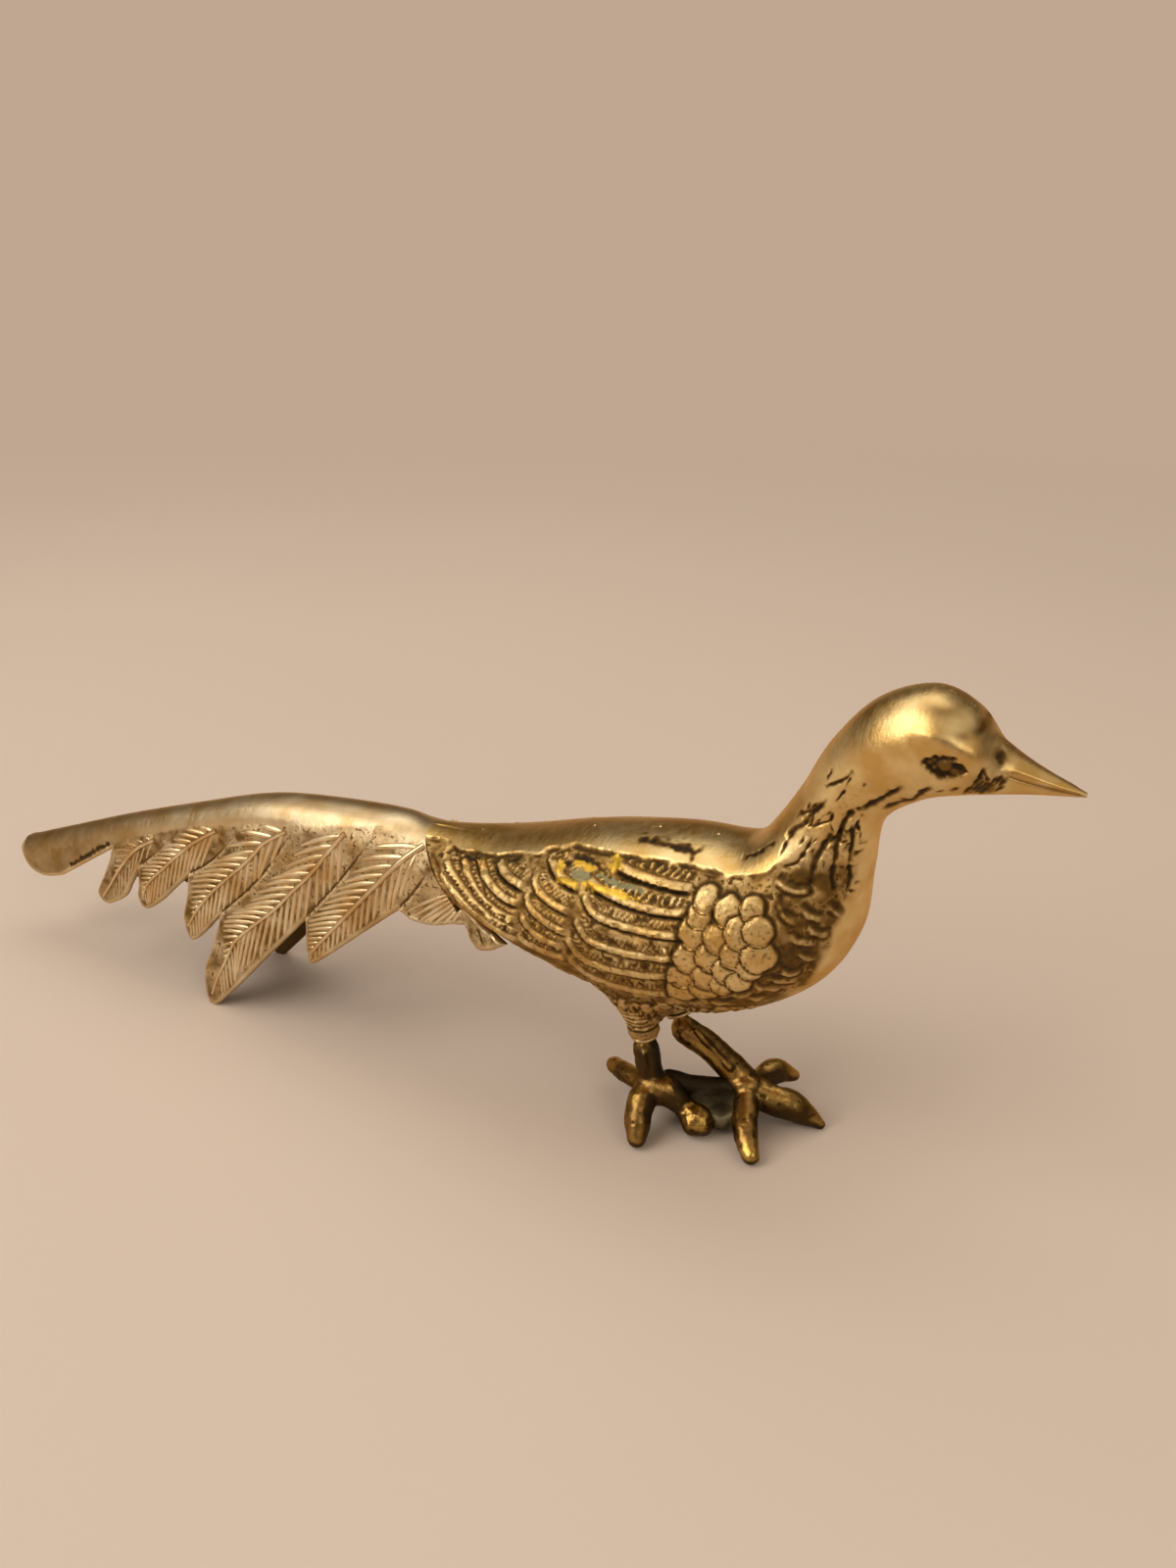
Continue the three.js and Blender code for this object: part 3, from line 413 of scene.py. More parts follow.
# Inside this line the bird keeps its cast feathers, outside it the seam was ground smooth
BACK_GRIND = [
    (-84, 64.6), (-74, 65.6), (-69, 65.2), (-63, 66.3), (-57, 67.4), (-52, 69), (-47, 70.2),
    (-43, 72), (-37, 74), (-32, 74.6), (-25, 75.4), (-15, 76.6), (-5, 77.2), (4, 77), (12, 79.6),
    (15, 84), (19, 92), (24, 101), (28, 107), (33, 97), (30.6, 93), (30.6, 86), (30.4, 78),
    (28.6, 71), (27.6, 64), (25.4, 58), (22, 51.5), (15, 45), (8, 41), (0, 37), (-3, 34),
    (-3, 24), (-34, 24), (-36, 38.5), (-50, 43), (-62, 46.6), (-84, 64.6),
]

WING_RISE = 0.6
CAST_GROUND_DEPTH = 0.4  # how far the cast feathers' ground lies below the ground band


def body_relief(x, z, points, seed, spotted):
    relief = Relief(x, z, points)
    neck = ramp(z, 80, 88)
    gap = near(BACK_GRIND, x, z, 8)[0]
    soft = 1.6 * ramp(x, 12, 20) + 3.5 * neck
    ragged = gap + (0.5 + 0.3 * soft) * grain(points, 2.5, seed + 9)
    inside = within(BACK_GRIND, x, z)
    zone = np.where(inside, ramp(ragged, -0.2, 0.5 + soft), 0.0)
    wing_outline = through(WING_EDGE + WING_EDGE[:1], 4)
    wing = within(wing_outline, x, z)
    wing_gap = near(wing_outline, x, z, 3)[0]
    relief.height += np.where(wing, WING_RISE * ramp(wing_gap, 0, 1.5), 0) - CAST_GROUND_DEPTH
    for number, line in enumerate(FLIGHT_FEATHERS):
        barb, pitch = (0.32, 1.9) if number in BLOCKY_BARBS else (0.22, 1.3)
        relief.feather(through(line), run_up=4.8, rise=0.5, barb=barb, pitch=pitch, lean=0.6)
    relief.scales(SHOULDER_SCALES, half_length=3.6, half_height=3.7, height=1.0, lean=-20,
                  front=(0.9, 0.35))
    relief.scales(thigh_tufts(seed), half_length=1.7, half_height=2.2, height=0.6, lean=-12,
                  front=(0.3, 0.9))
    for line in BREAST_RIMS:
        smooth = through(line)
        relief.rib(smooth, width=0.6, height=0.55, bare=0.7)
        above, below = smooth + np.array([0.3, 1.5]), smooth + np.array([0, -1.0])
        relief.groove(above, width=0.9, depth=0.4, dark=0.9, ragged=0.4)
        relief.groove(below, width=0.45, depth=0.3, dark=0.9, ragged=0.3)
    for line in scattered(130, (-42, 30), (8, 44), (-2.2, -3.4), (0.6, -1.6), seed):
        relief.groove(line, width=0.35, depth=0.3, dark=0.9, ragged=0.2)
    for line in BACK_STROKES:
        relief.groove(through(line), width=0.5, depth=0.3, ragged=0.8)
    relief.height *= zone
    relief.patina_and_shade *= zone
    relief.worn *= zone
    relief.cast = zone
    broken = ramp(grain(points, 3.5, seed + 4), -0.5, 0.2) * ramp(z, 60, 64) * (1 - ramp(x, 6, 13))
    rim = np.where(inside, bump(gap - 0.4, 0.35), 0) * broken
    relief.patina_and_shade = np.maximum(relief.patina_and_shade, 0.95 * rim)
    relief.height -= 0.25 * rim
    for line, width, depth in NECK_CUTS:
        relief.groove(through(line), width, depth, ragged=0.4)
    for line, width, depth in FACE_CUTS:
        relief.groove(through(line), width, depth, dark=0.95, ragged=0.3)
    for line in scattered(44, (25.4, 76), (29.8, 92), (0.6, -0.9), (1.9, 0.9), seed):
        relief.groove(line, width=0.22, depth=0.3, dark=0.9, ragged=0.4)
    for line in scattered(16, (17, 84), (24, 95), (0.5, 0.6), (1.6, 1.8), seed):
        relief.groove(line, width=0.2, depth=0.25, dark=0.9, ragged=0.3)
    if spotted:
        for line in RIDGE_STROKES:
            relief.groove(through(line), width=0.32, depth=0.2, ragged=0.3)
    relief.groove(through(MOUTH), width=0.35, depth=0.2, dark=0.4)
    relief.rib(through(BROW), width=1.9, height=0.6, taper=8)
    relief.rib(through(BEAK_RIM), width=0.5, height=0.25)
    eye(relief)
    relief.cast *= 1 - 0.7 * neck
    relief.tarnish((0.5 + 0.2 * ramp(x, 13, 18)) * relief.cast * (1 - neck), seed)
    relief.cast *= 1 - 0.5 * relief.worn
    for stain in HEAD_STAINS:
        relief.stain(*stain)
    if spotted:
        relief.gilt = np.max([relief.patch(*spot) for spot in GILT_SPOTS], axis=0)
        relief.verdigris = np.max([relief.patch(*spot) for spot in VERDIGRIS_SPOTS], axis=0)
        relief.height += 0.2 * relief.gilt
        relief.patina_and_shade *= 1 - 0.6 * relief.gilt
    relief.roughen(coarse=0.2, fine=0.12, seed=seed)
    return relief


def scattered(count, low, high, step_low, step_high, seed):
    """Short strokes that start anywhere in a box and run by a step between two others."""
    chance = np.random.default_rng(seed)
    start = chance.uniform(low, high, (count, 2))
    step = chance.uniform(step_low, step_high, (count, 2))
    return [np.array([point, point + run]) for point, run in zip(start, step)]


def thigh_tufts(seed):
    """Small hanging feathers from the wing down to the thigh: x, z and size."""
    chance = np.random.default_rng(seed + 1)
    tufts = []
    for row, z in enumerate(np.arange(29.5, 43.6, 2.6)):
        for x in np.arange(-44 + 1.5 * (row % 2), 14, 3.1):
            under_wing = z < np.interp(x, (-48, -30, -14, -2, 9, 14), (43, 40, 39.5, 41.5, 45, 47))
            if under_wing:
                shift = chance.uniform(-0.4, 0.4, 2)
                tufts.append((x + shift[0], z + shift[1], chance.uniform(0.85, 1.1)))
    return tufts


EYE_X, EYE_Z = 46, 110.2
EYE_HALF_LENGTH, EYE_HALF_HEIGHT, PUPIL_RADIUS = 5.2, 3.1, 1.6


def eye(relief):
    """An almond hollow full of dark crumbs, with a worn pupil in it."""
    turn = math.radians(-8)
    dx, dz = relief.x - EYE_X, relief.z - EYE_Z
    u = (dx * math.cos(turn) + dz * math.sin(turn)) / EYE_HALF_LENGTH
    v = (dz * math.cos(turn) - dx * math.sin(turn)) / EYE_HALF_HEIGHT
    crumbs = grain(relief.points, 0.9, 61)
    almond = np.abs(v) + np.abs(u) ** 1.8 + 0.16 * crumbs
    hollow = 1 - ramp(almond, 0.7, 1.0)
    relief.height -= 0.7 * hollow
    relief.height += 0.05 * bump(almond - 1.3, 0.3) + 0.2 * crumbs * hollow
    pupil = np.hypot(relief.x - 46.2, (relief.z - 110.6) * 1.1) / PUPIL_RADIUS
    dome = np.sqrt(np.clip(1 - pupil**2, 0, 1))
    relief.height += 0.6 * dome * hollow
    bright = np.maximum(0.5 * ramp(dome, 0.4, 0.8), 0.45 * ramp(crumbs, 0.3, 0.7))
    relief.patina_and_shade = np.maximum(relief.patina_and_shade, hollow * (1 - bright))


# Tail surface
RIDGE_ROWS = curve(TAIL, np.linspace(0, len(TAIL) - 1, 2000))[::-1]


def ridge(x):
    height = np.interp(x, RIDGE_ROWS[:, 0], RIDGE_ROWS[:, 1])
    return height, np.interp(x, RIDGE_ROWS[:, 0], RIDGE_ROWS[:, 2])


def tail_point(x, depth, side, inset=0.0):
    """A point of the tail's surface, at so many mm down from the ridge over the outside."""
    top, radius = ridge(x)
    quarter = math.pi / 2 - TAIL_FLARE
    angle = np.minimum(depth / radius, quarter)
    down = np.maximum(depth - radius * quarter, 0)
    y = (radius - inset) * np.sin(angle) + down * math.sin(TAIL_FLARE)
    z = top - radius + (radius - inset) * np.cos(angle) - down * math.cos(TAIL_FLARE)
    return np.stack([x, side * y, z], axis=-1)


def tail_normal(x, depth, side):
    base = tail_point(x, depth, side)
    ahead = tail_point(x + 0.05, depth, side) - base
    lower = tail_point(x, depth + 0.05, side) - base
    normal = np.cross(ahead, lower) * side
    return normal / np.linalg.norm(normal, axis=1, keepdims=True)


def tail_depth(x, z):
    """How far down from the ridge a side-view point lies on the tail's surface."""
    top, radius = ridge(x)
    quarter = math.pi / 2 - TAIL_FLARE
    knee = top - radius + radius * math.cos(quarter)
    angle = np.arccos(np.clip((z - top + radius) / radius, -1, 1))
    return np.where(z > knee, angle * radius, quarter * radius + (knee - z) / math.cos(TAIL_FLARE))


# Feathers from the wing backwards: the rear edge's root, middle and notch, then the rounded
# end's rear, tip and front
FEATHERS = [
    (-72, (-67, 54), (-64.4, 47.6), (-63, 44.4), (-60.4, 42.2), (-56.4, 43.2)),
    (-74.5, (-80.3, 52.3), (-85.4, 46.2), (-81, 44.4), (-75.2, 44.6), (-69.5, 46.4)),
    (-95, (-103.6, 50.4), (-116.5, 35.4), (-116.2, 26.8), (-114.6, 23), (-110, 25.8)),
    (-120, (-132.6, 43), (-147.7, 28.5), (-154.4, 8.4), (-151.6, -0.4), (-144.4, 5.2)),
    (-138, (-150, 44.2), (-160.4, 37), (-162.8, 22.8), (-159.6, 17.2), (-154, 21.6)),
    (-163, (-173, 40.6), (-180.8, 34.2), (-181.8, 24.6), (-178.6, 21.6), (-172.6, 25.4)),
    (-180, (-187, 41), (-192.2, 37.2), (-199.4, 21.4), (-195.4, 18.8), (-188, 22.8)),
]
COVERT_FRONT = (-52.6, 45.6)
# Each long feather's shaft, from its root to its tip
RACHIS = {
    2: [(-80, 63.4), (-86, 58.5), (-93.6, 50), (-100.6, 42), (-106.7, 35), (-114, 26.5)],
    3: [(-104, 62), (-110, 54.7), (-114, 49.4), (-120.7, 42.4), (-127.8, 34.8), (-136, 27.6),
        (-142, 21.8), (-145, 16), (-148.4, 9.4), (-151, 3)],
    4: [(-124, 58), (-131.6, 53), (-136.7, 47.4), (-143, 41.5), (-150.2, 34.9), (-156.3, 28),
        (-160.7, 21)],
    5: [(-149.7, 52.3), (-157.6, 47.3), (-164, 42), (-170.3, 36.3), (-176.8, 30), (-179.2, 25)],
    6: [(-174, 44), (-182, 39), (-188.7, 31.7), (-193, 25.7), (-196.4, 21)],
}
# Under this line the tail has feathers, above it the plain ridge band
RELIEF_TOP = [
    (-74, 62.6), (-82, 63.8), (-93, 65.4), (-103.5, 64), (-118.8, 61), (-134.7, 57.6),
    (-146, 54.6), (-157.7, 52.2), (-176, 45.6), (-190, 40), (-200, 35),
]

# Dark patches between the roots of the barbs: x, z, half length, half height and depth
TAIL_STAINS = [
    (-90, 61, 6, 1.8, 0.55), (-116, 57, 6, 4.5, 0.55), (-140, 53, 6, 2.4, 0.55),
    (-162, 49, 7, 2.2, 0.5), (-77, 59, 3, 2.5, 0.6), (-100, 56, 4, 4, 0.5), (-128, 55, 3, 3, 0.4),
]
# The broken edge under the tail's plain end
END_EDGE = [(-212, 26.6), (-206, 30.4), (-200, 34.2), (-193.6, 38.4)]
# Cuts in the covert, the small feather under the wing's end
COVERT_CUTS = [
    [(-63, 47.6), (-61.6, 43.6)], [(-60.6, 48.2), (-58.8, 44)], [(-58, 48.6), (-55.4, 44.8)],
]


def tail_outline():
    """The side view of a tail panel as a closed line, from the rump joint over the ridge."""
    rump_top, rump_foot = BODY[0, 0:2], BODY[0, 2:4]
    up = (rump_top - rump_foot) / np.linalg.norm(rump_top - rump_foot)
    back = 0.02 * np.array([-up[1], up[0]])
    foot = rump_foot + 0.24 * (rump_top - rump_foot) + back
    top_x = rump_top[0] + back[0]
    crest_x = np.linspace(top_x, TAIL_END_X, 400)
    parts = [[foot], np.stack([crest_x, ridge(crest_x)[0]], -1)]
    parts.append(through([(TAIL_END_X, 27), (-231.6, 22), (-225, 20.2), (-216, 22.4)], 12))
    for number in range(len(FEATHERS) - 1, -1, -1):
        notch, rear, tip, front = np.array(FEATHERS[number][2:])
        beyond = np.array(FEATHERS[number - 1][2] if number else COVERT_FRONT)
        before, after = rear + 0.4 * (notch - rear), front + 0.4 * (beyond - front)
        parts.append([notch])
        parts.append(through([before, rear, tip, front, after], 10))
    parts.append([COVERT_FRONT, (-59, 48.8), (-65, 53.4)])
    return dense(np.vstack(parts + [[foot]]), 0.5)[:-1]


def dense(line, step):
    """A line with no stretch longer than step."""
    rows = [line[:1]]
    for start, end in zip(line[:-1], line[1:]):
        count = max(1, math.ceil(np.linalg.norm(end - start) / step))
        rows.append(start + (end - start) * np.arange(1, count + 1)[:, None] / count)
    return np.vstack(rows)


def rear_edge(feather):
    root_x, middle, notch = FEATHERS[feather][0:3]
    root = (root_x, ridge(root_x)[0] - 5)
    return through([notch, middle, root], 10)


def ahead_of(number):
    """The side view of all that lies ahead of a feather's rear edge."""
    rear = rear_edge(number)
    crest_x = np.linspace(rear[-1][0], -30, 40)
    crest = np.stack([crest_x, ridge(crest_x)[0] + 2], axis=-1)
    return np.vstack([rear, crest, [(-30, -40)], [(rear[0][0], -40)]])


def below_band(x, z):
    """How far under the tail's plain ridge band a side-view point lies."""
    line = np.array(RELIEF_TOP[::-1])
    return np.interp(x, line[:, 0], line[:, 1]) - z


def tail_height(x, z):
    """How high the tail's feathers lie: each slopes up to its own rear edge, as shingles do."""
    height = np.zeros(x.shape)
    done = np.zeros(x.shape, bool)
    for number in range(len(FEATHERS)):
        region = within(ahead_of(number), x, z) & ~done
        gap = near(rear_edge(number), x, z, 14)[0]
        height = np.where(region, 0.6 - 0.45 * ramp(gap, 0, 11), height)
        done |= region
    return height * ramp(below_band(x, z), -0.5, 2.5)


def tail_relief(x, z, points, seed):
    relief = Relief(x, z, points)
    below = below_band(x, z)
    relief.cast = ramp(below + 0.4 * grain(points, 2.5, seed + 7), -0.4, 1.0) * ramp(x, -203, -196)
    relief.height += tail_height(x, z)
    parted = ramp(below, 2, 10)
    for number in range(1, len(FEATHERS)):
        gap = near(rear_edge(number), x, z, 6)[0]
        ahead = within(ahead_of(number), x, z)
        lip = np.where(ahead, bump(gap - 0.6, 0.5), 0) * parted
        relief.height += 0.25 * lip
        relief.worn = np.maximum(relief.worn, lip)
        # Painted shade: a dark strip on the feather behind, along each feather's rear edge.
        shade = np.where(ahead, 0, bump(gap, 0.75)) * parted
        relief.patina_and_shade = np.maximum(relief.patina_and_shade, 0.95 * shade)
        relief.height -= 0.2 * shade
    for line in COVERT_CUTS:
        relief.groove(through(line), width=0.3, depth=0.3, dark=0.9, ragged=0.2)
    for stain in TAIL_STAINS:
        relief.stain(*stain)
    relief.patina_and_shade *= ramp(below, -0.8, 0.8)
    # The tarnish thins out higher up the tail, which paints a highlight on the upper feathers.
    relief.tarnish(0.5 * relief.cast * (1 - 0.5 * ramp(z, 48, 58)), seed)
    relief.tarnish(0.1 + 0.4 * (1 - ramp(x, -215, -150)), seed + 5, cloudy=0.2)
    relief.groove(END_EDGE, width=0.7, depth=0.3, ragged=0.9)
    relief.roughen(coarse=0.07, fine=0.05, seed=seed, pitted=0.2)
    return relief


# Legs: the socket's face, the top of the thigh's axis, the hub where the toes meet, each toe and
# the casting flash as points x, y, z and radius, a lump on the hub, the shank's radius, and how
# dark the shank's one side is painted as shade and how copper-red its other
LEGS = {
    RIGHT: {
        "socket": (-18.6, -7, 25.6), "thigh_top": (-20, -8.2, 38), "hub": (-16, -7, 9.6),
        "toes": [
            [(-21.5, -4.5, 8.6, 2.7), (-26, -2, 7.6, 2.5), (-30.4, 1.6, 6, 2.3)],
            [(-16.6, -11.6, 9, 3.7), (-16.2, -15, 7, 3.4), (-15.4, -17, 5, 3.3),
             (-14.9, -18.8, 2.7, 2.5)],
            [(-12.4, -7, 9.6, 4.3), (-9.8, -7.2, 8.4, 3.4), (-7, -7.2, 6, 2.8),
             (-3.9, -7.8, 4.5, 4.2), (-2.8, -8, 4.2, 3.9)],
        ],
        "flash": [(-17.2, -10, 21, 0.6), (-16.4, -10.2, 15, 0.6)],
        "lump": [(-15.4, -7.6, 10.4), (5.2, 4.6, 4.2)], "girth": 3.3, "shade": (0.7, 0.0),
    },
    LEFT: {
        "socket": (-14.4, 5.2, 25.6), "thigh_top": (-20, 7.5, 38), "hub": (5, 5, 9),
        "toes": [
            [(7, -2, 6.4, 3.3), (9.4, -8, 4.6, 3.1), (12.3, -12.2, 2.2, 2.3)],
            [(11, 4.6, 7, 3.8), (16, 5.8, 5.8, 3.9), (20.5, 7, 3.4, 2.7), (23.8, 7.6, 1.3, 1.2)],
            [(7, 10.5, 7.8, 3), (9, 16, 7, 3.4), (13, 19.6, 4.6, 1.4)],
        ],
        "flash": [(-8.6, 2.3, 23.2, 0.6), (-5.6, 2.0, 20.8, 0.9), (-3, 2.1, 18.6, 0.6),
                  (1.2, 2, 15, 0.9)],
        "lump": [(4.6, 3.4, 10.4), (4.8, 3.4, 2.7)], "girth": 3.6, "shade": (0.35, 1.0),
    },
}
HUB_RADII = (4.3, 4.3, 3.4)
SHADED_SIDE = np.array((0.9, 0.44, 0))  # the shanks' side away from the lamps, painted dark as shade; heat coloured the other side
RING_HEIGHT, FIT_GAP, PEG_RADIUS = 1, 0.3, 1.85


def thigh_axis(leg):
    socket, top = np.array(leg["socket"], float), np.array(leg["thigh_top"], float)
    return socket, (top - socket) / np.linalg.norm(top - socket)


def thigh_pull(points, leg):
    """How far the body's underside is drawn down round a thigh, so that it runs into it."""
    socket, axis = thigh_axis(leg)
    height = points[..., 2] - socket[2]
    centre = socket + axis * (height / axis[2])[..., None]
    away = np.linalg.norm((points - centre)[..., :2], axis=-1)
    pull = 7.0 * (1 - ramp(away, 3.2, 12.5)) ** 1.7 * (1 - ramp(height, 16, 24))
    return -axis * pull[..., None]


# Meshes. How far apart their points lie, in mm
BODY_STEP, HEAD_STEP, TAIL_STEP, CASTING_STEP = 0.42, 0.27, 0.4, 0.45
CAP_ROWS = 6  # rows of points that fill the body's flat ends


def faces_of_grid(rows, columns, flip):
    """Quads of a grid whose points are counted row by row."""
    first = (np.arange(rows - 1)[:, None] * columns + np.arange(columns - 1)).ravel()
    quads = np.stack([first, first + 1, first + columns + 1, first + columns], axis=-1)
    return quads[:, ::-1] if flip else quads


def grid_normals(grid):
    along, across = np.gradient(grid, axis=0), np.gradient(grid, axis=1)
    normal = np.cross(across, along)
    return normal / np.maximum(np.linalg.norm(normal, axis=-1, keepdims=True), 1e-9)


def new_piece(name, points, faces, material, values):
    """A mesh from points in mm, with a value of each kind for a point. Equal points become one."""
    keys = np.round(points, 5)
    _, first, index = np.unique(keys, axis=0, return_index=True, return_inverse=True)
    index = index.ravel()
    kept = []
    for corners in faces:
        ring = index[corners]
        ring = [int(c) for k, c in enumerate(ring) if c != ring[k - 1]]
        if len(set(ring)) > 2:
            kept.append(ring)
    mesh = bpy.data.meshes.new(name)
    mesh.from_pydata(in_frame(points[first]).tolist(), [], kept)
    for label, numbers in values.items():
        layer = mesh.attributes.new(label, "FLOAT", "POINT")
        layer.data.foreach_set("value", np.asarray(numbers, float)[first].astype(np.float32))
    mesh.polygons.foreach_set("use_smooth", [True] * len(mesh.polygons))
    mesh.set_sharp_from_angle(angle=math.radians(60))
    mesh.materials.append(material)
    mesh.update()
    piece = bpy.data.objects.new(name, mesh)
    bpy.context.scene.collection.objects.link(piece)
    return piece


def flat_faces(outer, inner):
    """Triangles between two closed loops of side-view points."""
    flat = np.vstack([outer, inner])
    rings = [list(range(len(outer))), list(range(len(outer), len(flat)))]
    result = delaunay_2d_cdt([Vector(p) for p in flat.tolist()], [], rings, 1, 1e-7)
    coordinates = np.array([tuple(v) for v in result[0]])
    triangles = np.array(result[2])
    centre = coordinates[triangles].mean(axis=1)
    wall = within(outer, centre[:, 0], centre[:, 1]) & ~within(inner, centre[:, 0], centre[:, 1])
    return coordinates, triangles[wall]


def capped_rows(grid, steps):
    """A half section's rows with a flat end filled in at each end."""
    shares = np.linspace(1, 0, steps + 1)[:-1]
    ends = []
    for row, order in ((grid[0], 1), (grid[-1], -1)):
        fill = np.repeat(row[None], steps, axis=0)
        fill[..., 1] *= (1 - shares)[:, None]
        ends.append(fill[::order])
    return np.concatenate([ends[0], grid, ends[1]])


def side_loop(rows):
    """The closed side-view line where a capped half section meets the bird's middle."""
    loop = np.vstack([rows[:, 0], rows[-1, 1:], rows[::-1, -1], rows[0, ::-1]])
    flat = loop[:, [0, 2]]
    keep = np.linalg.norm(flat - np.roll(flat, 1, axis=0), axis=1) > 1e-5
    return flat[keep]


def body_places():
    """Places along the body that are evenly spaced, and closer on the head."""
    place = np.linspace(0, len(BODY) - 1, 4001)
    top, bottom, _ = body_section(place)
    over = np.linalg.norm(np.diff(top, axis=0), axis=1)
    under = np.linalg.norm(np.diff(bottom, axis=0), axis=1)
    travel = (over + under) / 2
    middle = (place[1:] + place[:-1]) / 2
    step = BODY_STEP + (HEAD_STEP - BODY_STEP) * ramp(middle, 6, 9)
    count = np.concatenate([[0], np.cumsum(travel / step)])
    return np.interp(np.linspace(0, count[-1], int(count[-1])), count, place)


def body_half(name, side, material, seed):
    angle = np.linspace(0, math.pi, 176)
    places, angles = np.meshgrid(body_places(), angle, indexing="ij")
    base = body_point(places, angles, side)
    x, z = base[..., 0], base[..., 2]
    arch = side * tail_point(x, tail_depth(x, z), side)[..., 1] * (z < ridge(x)[0])
    share = (1 - ramp(places, 0, 1.2)) * ramp(z, 52, 60)
    base[..., 1] += side * share * (np.minimum(arch, side * base[..., 1]) - side * base[..., 1])
    base = base + thigh_pull(base, LEGS[side])
    normal = grid_normals(base) * -side
    flat = base.reshape(-1, 3)
    mirrored = flat * np.array([1, side, 1])
    relief = body_relief(flat[:, 0], flat[:, 2], mirrored, seed, side == RIGHT)
    raised = base + normal * relief.height.reshape(places.shape)[..., None]
    raised[:, [0, -1], 1] = 0
    outer = capped_rows(raised, CAP_ROWS)
    inside_place = np.linspace(HOLLOW_FROM, HOLLOW_TO, 120)
    inside_angle = np.linspace(0, math.pi, 20)
    inner_places, inner_angles = np.meshgrid(inside_place, inside_angle, indexing="ij")
    hollow = capped_rows(body_point(inner_places, inner_angles, side, BODY_WALL), 4)
    for grid in (outer, hollow):
        grid[:, [0, -1], 1] = 0
        grid[[0, -1], :, 1] = 0
    seam, triangles = flat_faces(side_loop(outer), side_loop(hollow))
    seam_points = np.stack([seam[:, 0], np.zeros(len(seam)), seam[:, 1]], axis=-1)
    points = np.vstack([outer.reshape(-1, 3), hollow.reshape(-1, 3), seam_points])
    outer_count, hollow_count = outer.shape[0] * outer.shape[1], hollow.shape[0] * hollow.shape[1]
    faces = list(faces_of_grid(outer.shape[0], outer.shape[1], side > 0))
    faces += list(faces_of_grid(hollow.shape[0], hollow.shape[1], side < 0) + outer_count)
    faces += list(triangles + outer_count + hollow_count)
    values = {}
    for label, inner in (("patina_and_shade", 0.5), ("cast", 0.5), ("gilt", 0), ("verdigris", 0)):
        grid = getattr(relief, label).reshape(places.shape)
        first, last = np.repeat(grid[:1], CAP_ROWS, 0), np.repeat(grid[-1:], CAP_ROWS, 0)
        grid = np.concatenate([first, grid, last])
        rest = np.full(len(points) - outer_count, inner)
        values[label] = np.concatenate([grid.ravel(), rest])
    piece = new_piece(name, points, faces, material, values)
    outwards(piece)
    return piece


def outwards(piece):
    """Turns a closed mesh's faces to point outwards."""
    work = bmesh.new()
    work.from_mesh(piece.data)
    bmesh.ops.recalc_face_normals(work, faces=work.faces)
    work.to_mesh(piece.data)
    work.free()


def tail_half(name, side, material, seed):
    outline = tail_outline()
    outline[:, 1] = np.maximum(outline[:, 1], 0)
    edge = np.stack([outline[:, 0], tail_depth(outline[:, 0], outline[:, 1])], axis=-1)
    low, high = edge.min(axis=0), edge.max(axis=0)
    rows = np.arange(low[1] + TAIL_STEP, high[1], TAIL_STEP * 0.87)
    inner = []
    for number, depth in enumerate(rows):
        across = np.arange(low[0] + TAIL_STEP * (0.5 if number % 2 else 1), high[0], TAIL_STEP)
        inner.append(np.stack([across, np.full(len(across), depth)], axis=-1))
    inner = np.vstack(inner)
    inner = inner[within(edge, inner[:, 0], inner[:, 1])]
    closed = np.vstack([edge, edge[:1]])
    inner = inner[near(closed, inner[:, 0], inner[:, 1], 1.0)[0] > 0.6 * TAIL_STEP]
    flat = np.vstack([edge, inner])
    corners = [Vector(p) for p in flat.tolist()]
    result = delaunay_2d_cdt(corners, [], [list(range(len(edge)))], 1, 1e-7)
    flat = np.array([tuple(v) for v in result[0]])
    triangles = np.array(result[2])
    centre = flat[triangles].mean(axis=1)
    triangles = triangles[within(edge, centre[:, 0], centre[:, 1])]
    x, depth = flat[:, 0], flat[:, 1]
    base = tail_point(x, depth, side)
    normal = tail_normal(x, depth, side)
    relief = tail_relief(x, base[:, 2], base * np.array([1, side, 1]), seed)
    rump_top, rump_foot = BODY[0, 0:2], BODY[0, 2:4]
    joint_gap = near([rump_top, rump_foot], outline[:, 0], outline[:, 1], 0.5)[0]
    free = edge[(edge[:, 1] > 1e-6) & (joint_gap > 0.1)]
    edge_gap = near(free, x, depth, 1.2)[0]
    round_off = 1 - np.sqrt(np.clip(1 - (1 - np.clip(edge_gap, 0, 1)) ** 2, 0, 1))
    height = relief.height - 0.8 * round_off + 0.2 * bump(edge_gap - 0.9, 0.4)
    bare = 1 - 0.85 * bump(np.maximum(edge_gap - 0.5, 0), 0.6)
    outer = base + normal * height[:, None]
    outer[:, 2] = np.maximum(outer[:, 2], 0)
    hollow = tail_point(x, depth, side, TAIL_WALL)
    hollow += normal * (0.6 * round_off)[:, None]
    hollow[:, 2] = np.maximum(hollow[:, 2], 0)
    solid = 1 - ramp(x, TAIL_SOLID_FROM - 1, TAIL_SOLID_FROM + 1)
    hollow[:, 1] *= 1 - solid
    on_ridge = depth < 1e-6
    outer[on_ridge, 1] = 0
    hollow[on_ridge, 1] = 0
    count = len(flat)
    loop = list(range(len(edge)))
    wall = [[a, b, b + count, a + count] for a, b in zip(loop, loop[1:] + loop[:1])]
    points = np.vstack([outer, hollow])
    faces = list(triangles) + list(triangles[:, ::-1] + count) + [np.array(w) for w in wall]
    values = {
        "patina_and_shade": np.concatenate([relief.patina_and_shade * bare, np.full(count, 0.75)]),
        "cast": np.concatenate([relief.cast * bare, np.full(count, 1.0)]),
    }
    piece = new_piece(name, points, faces, material, values)
    outwards(piece)
    return piece


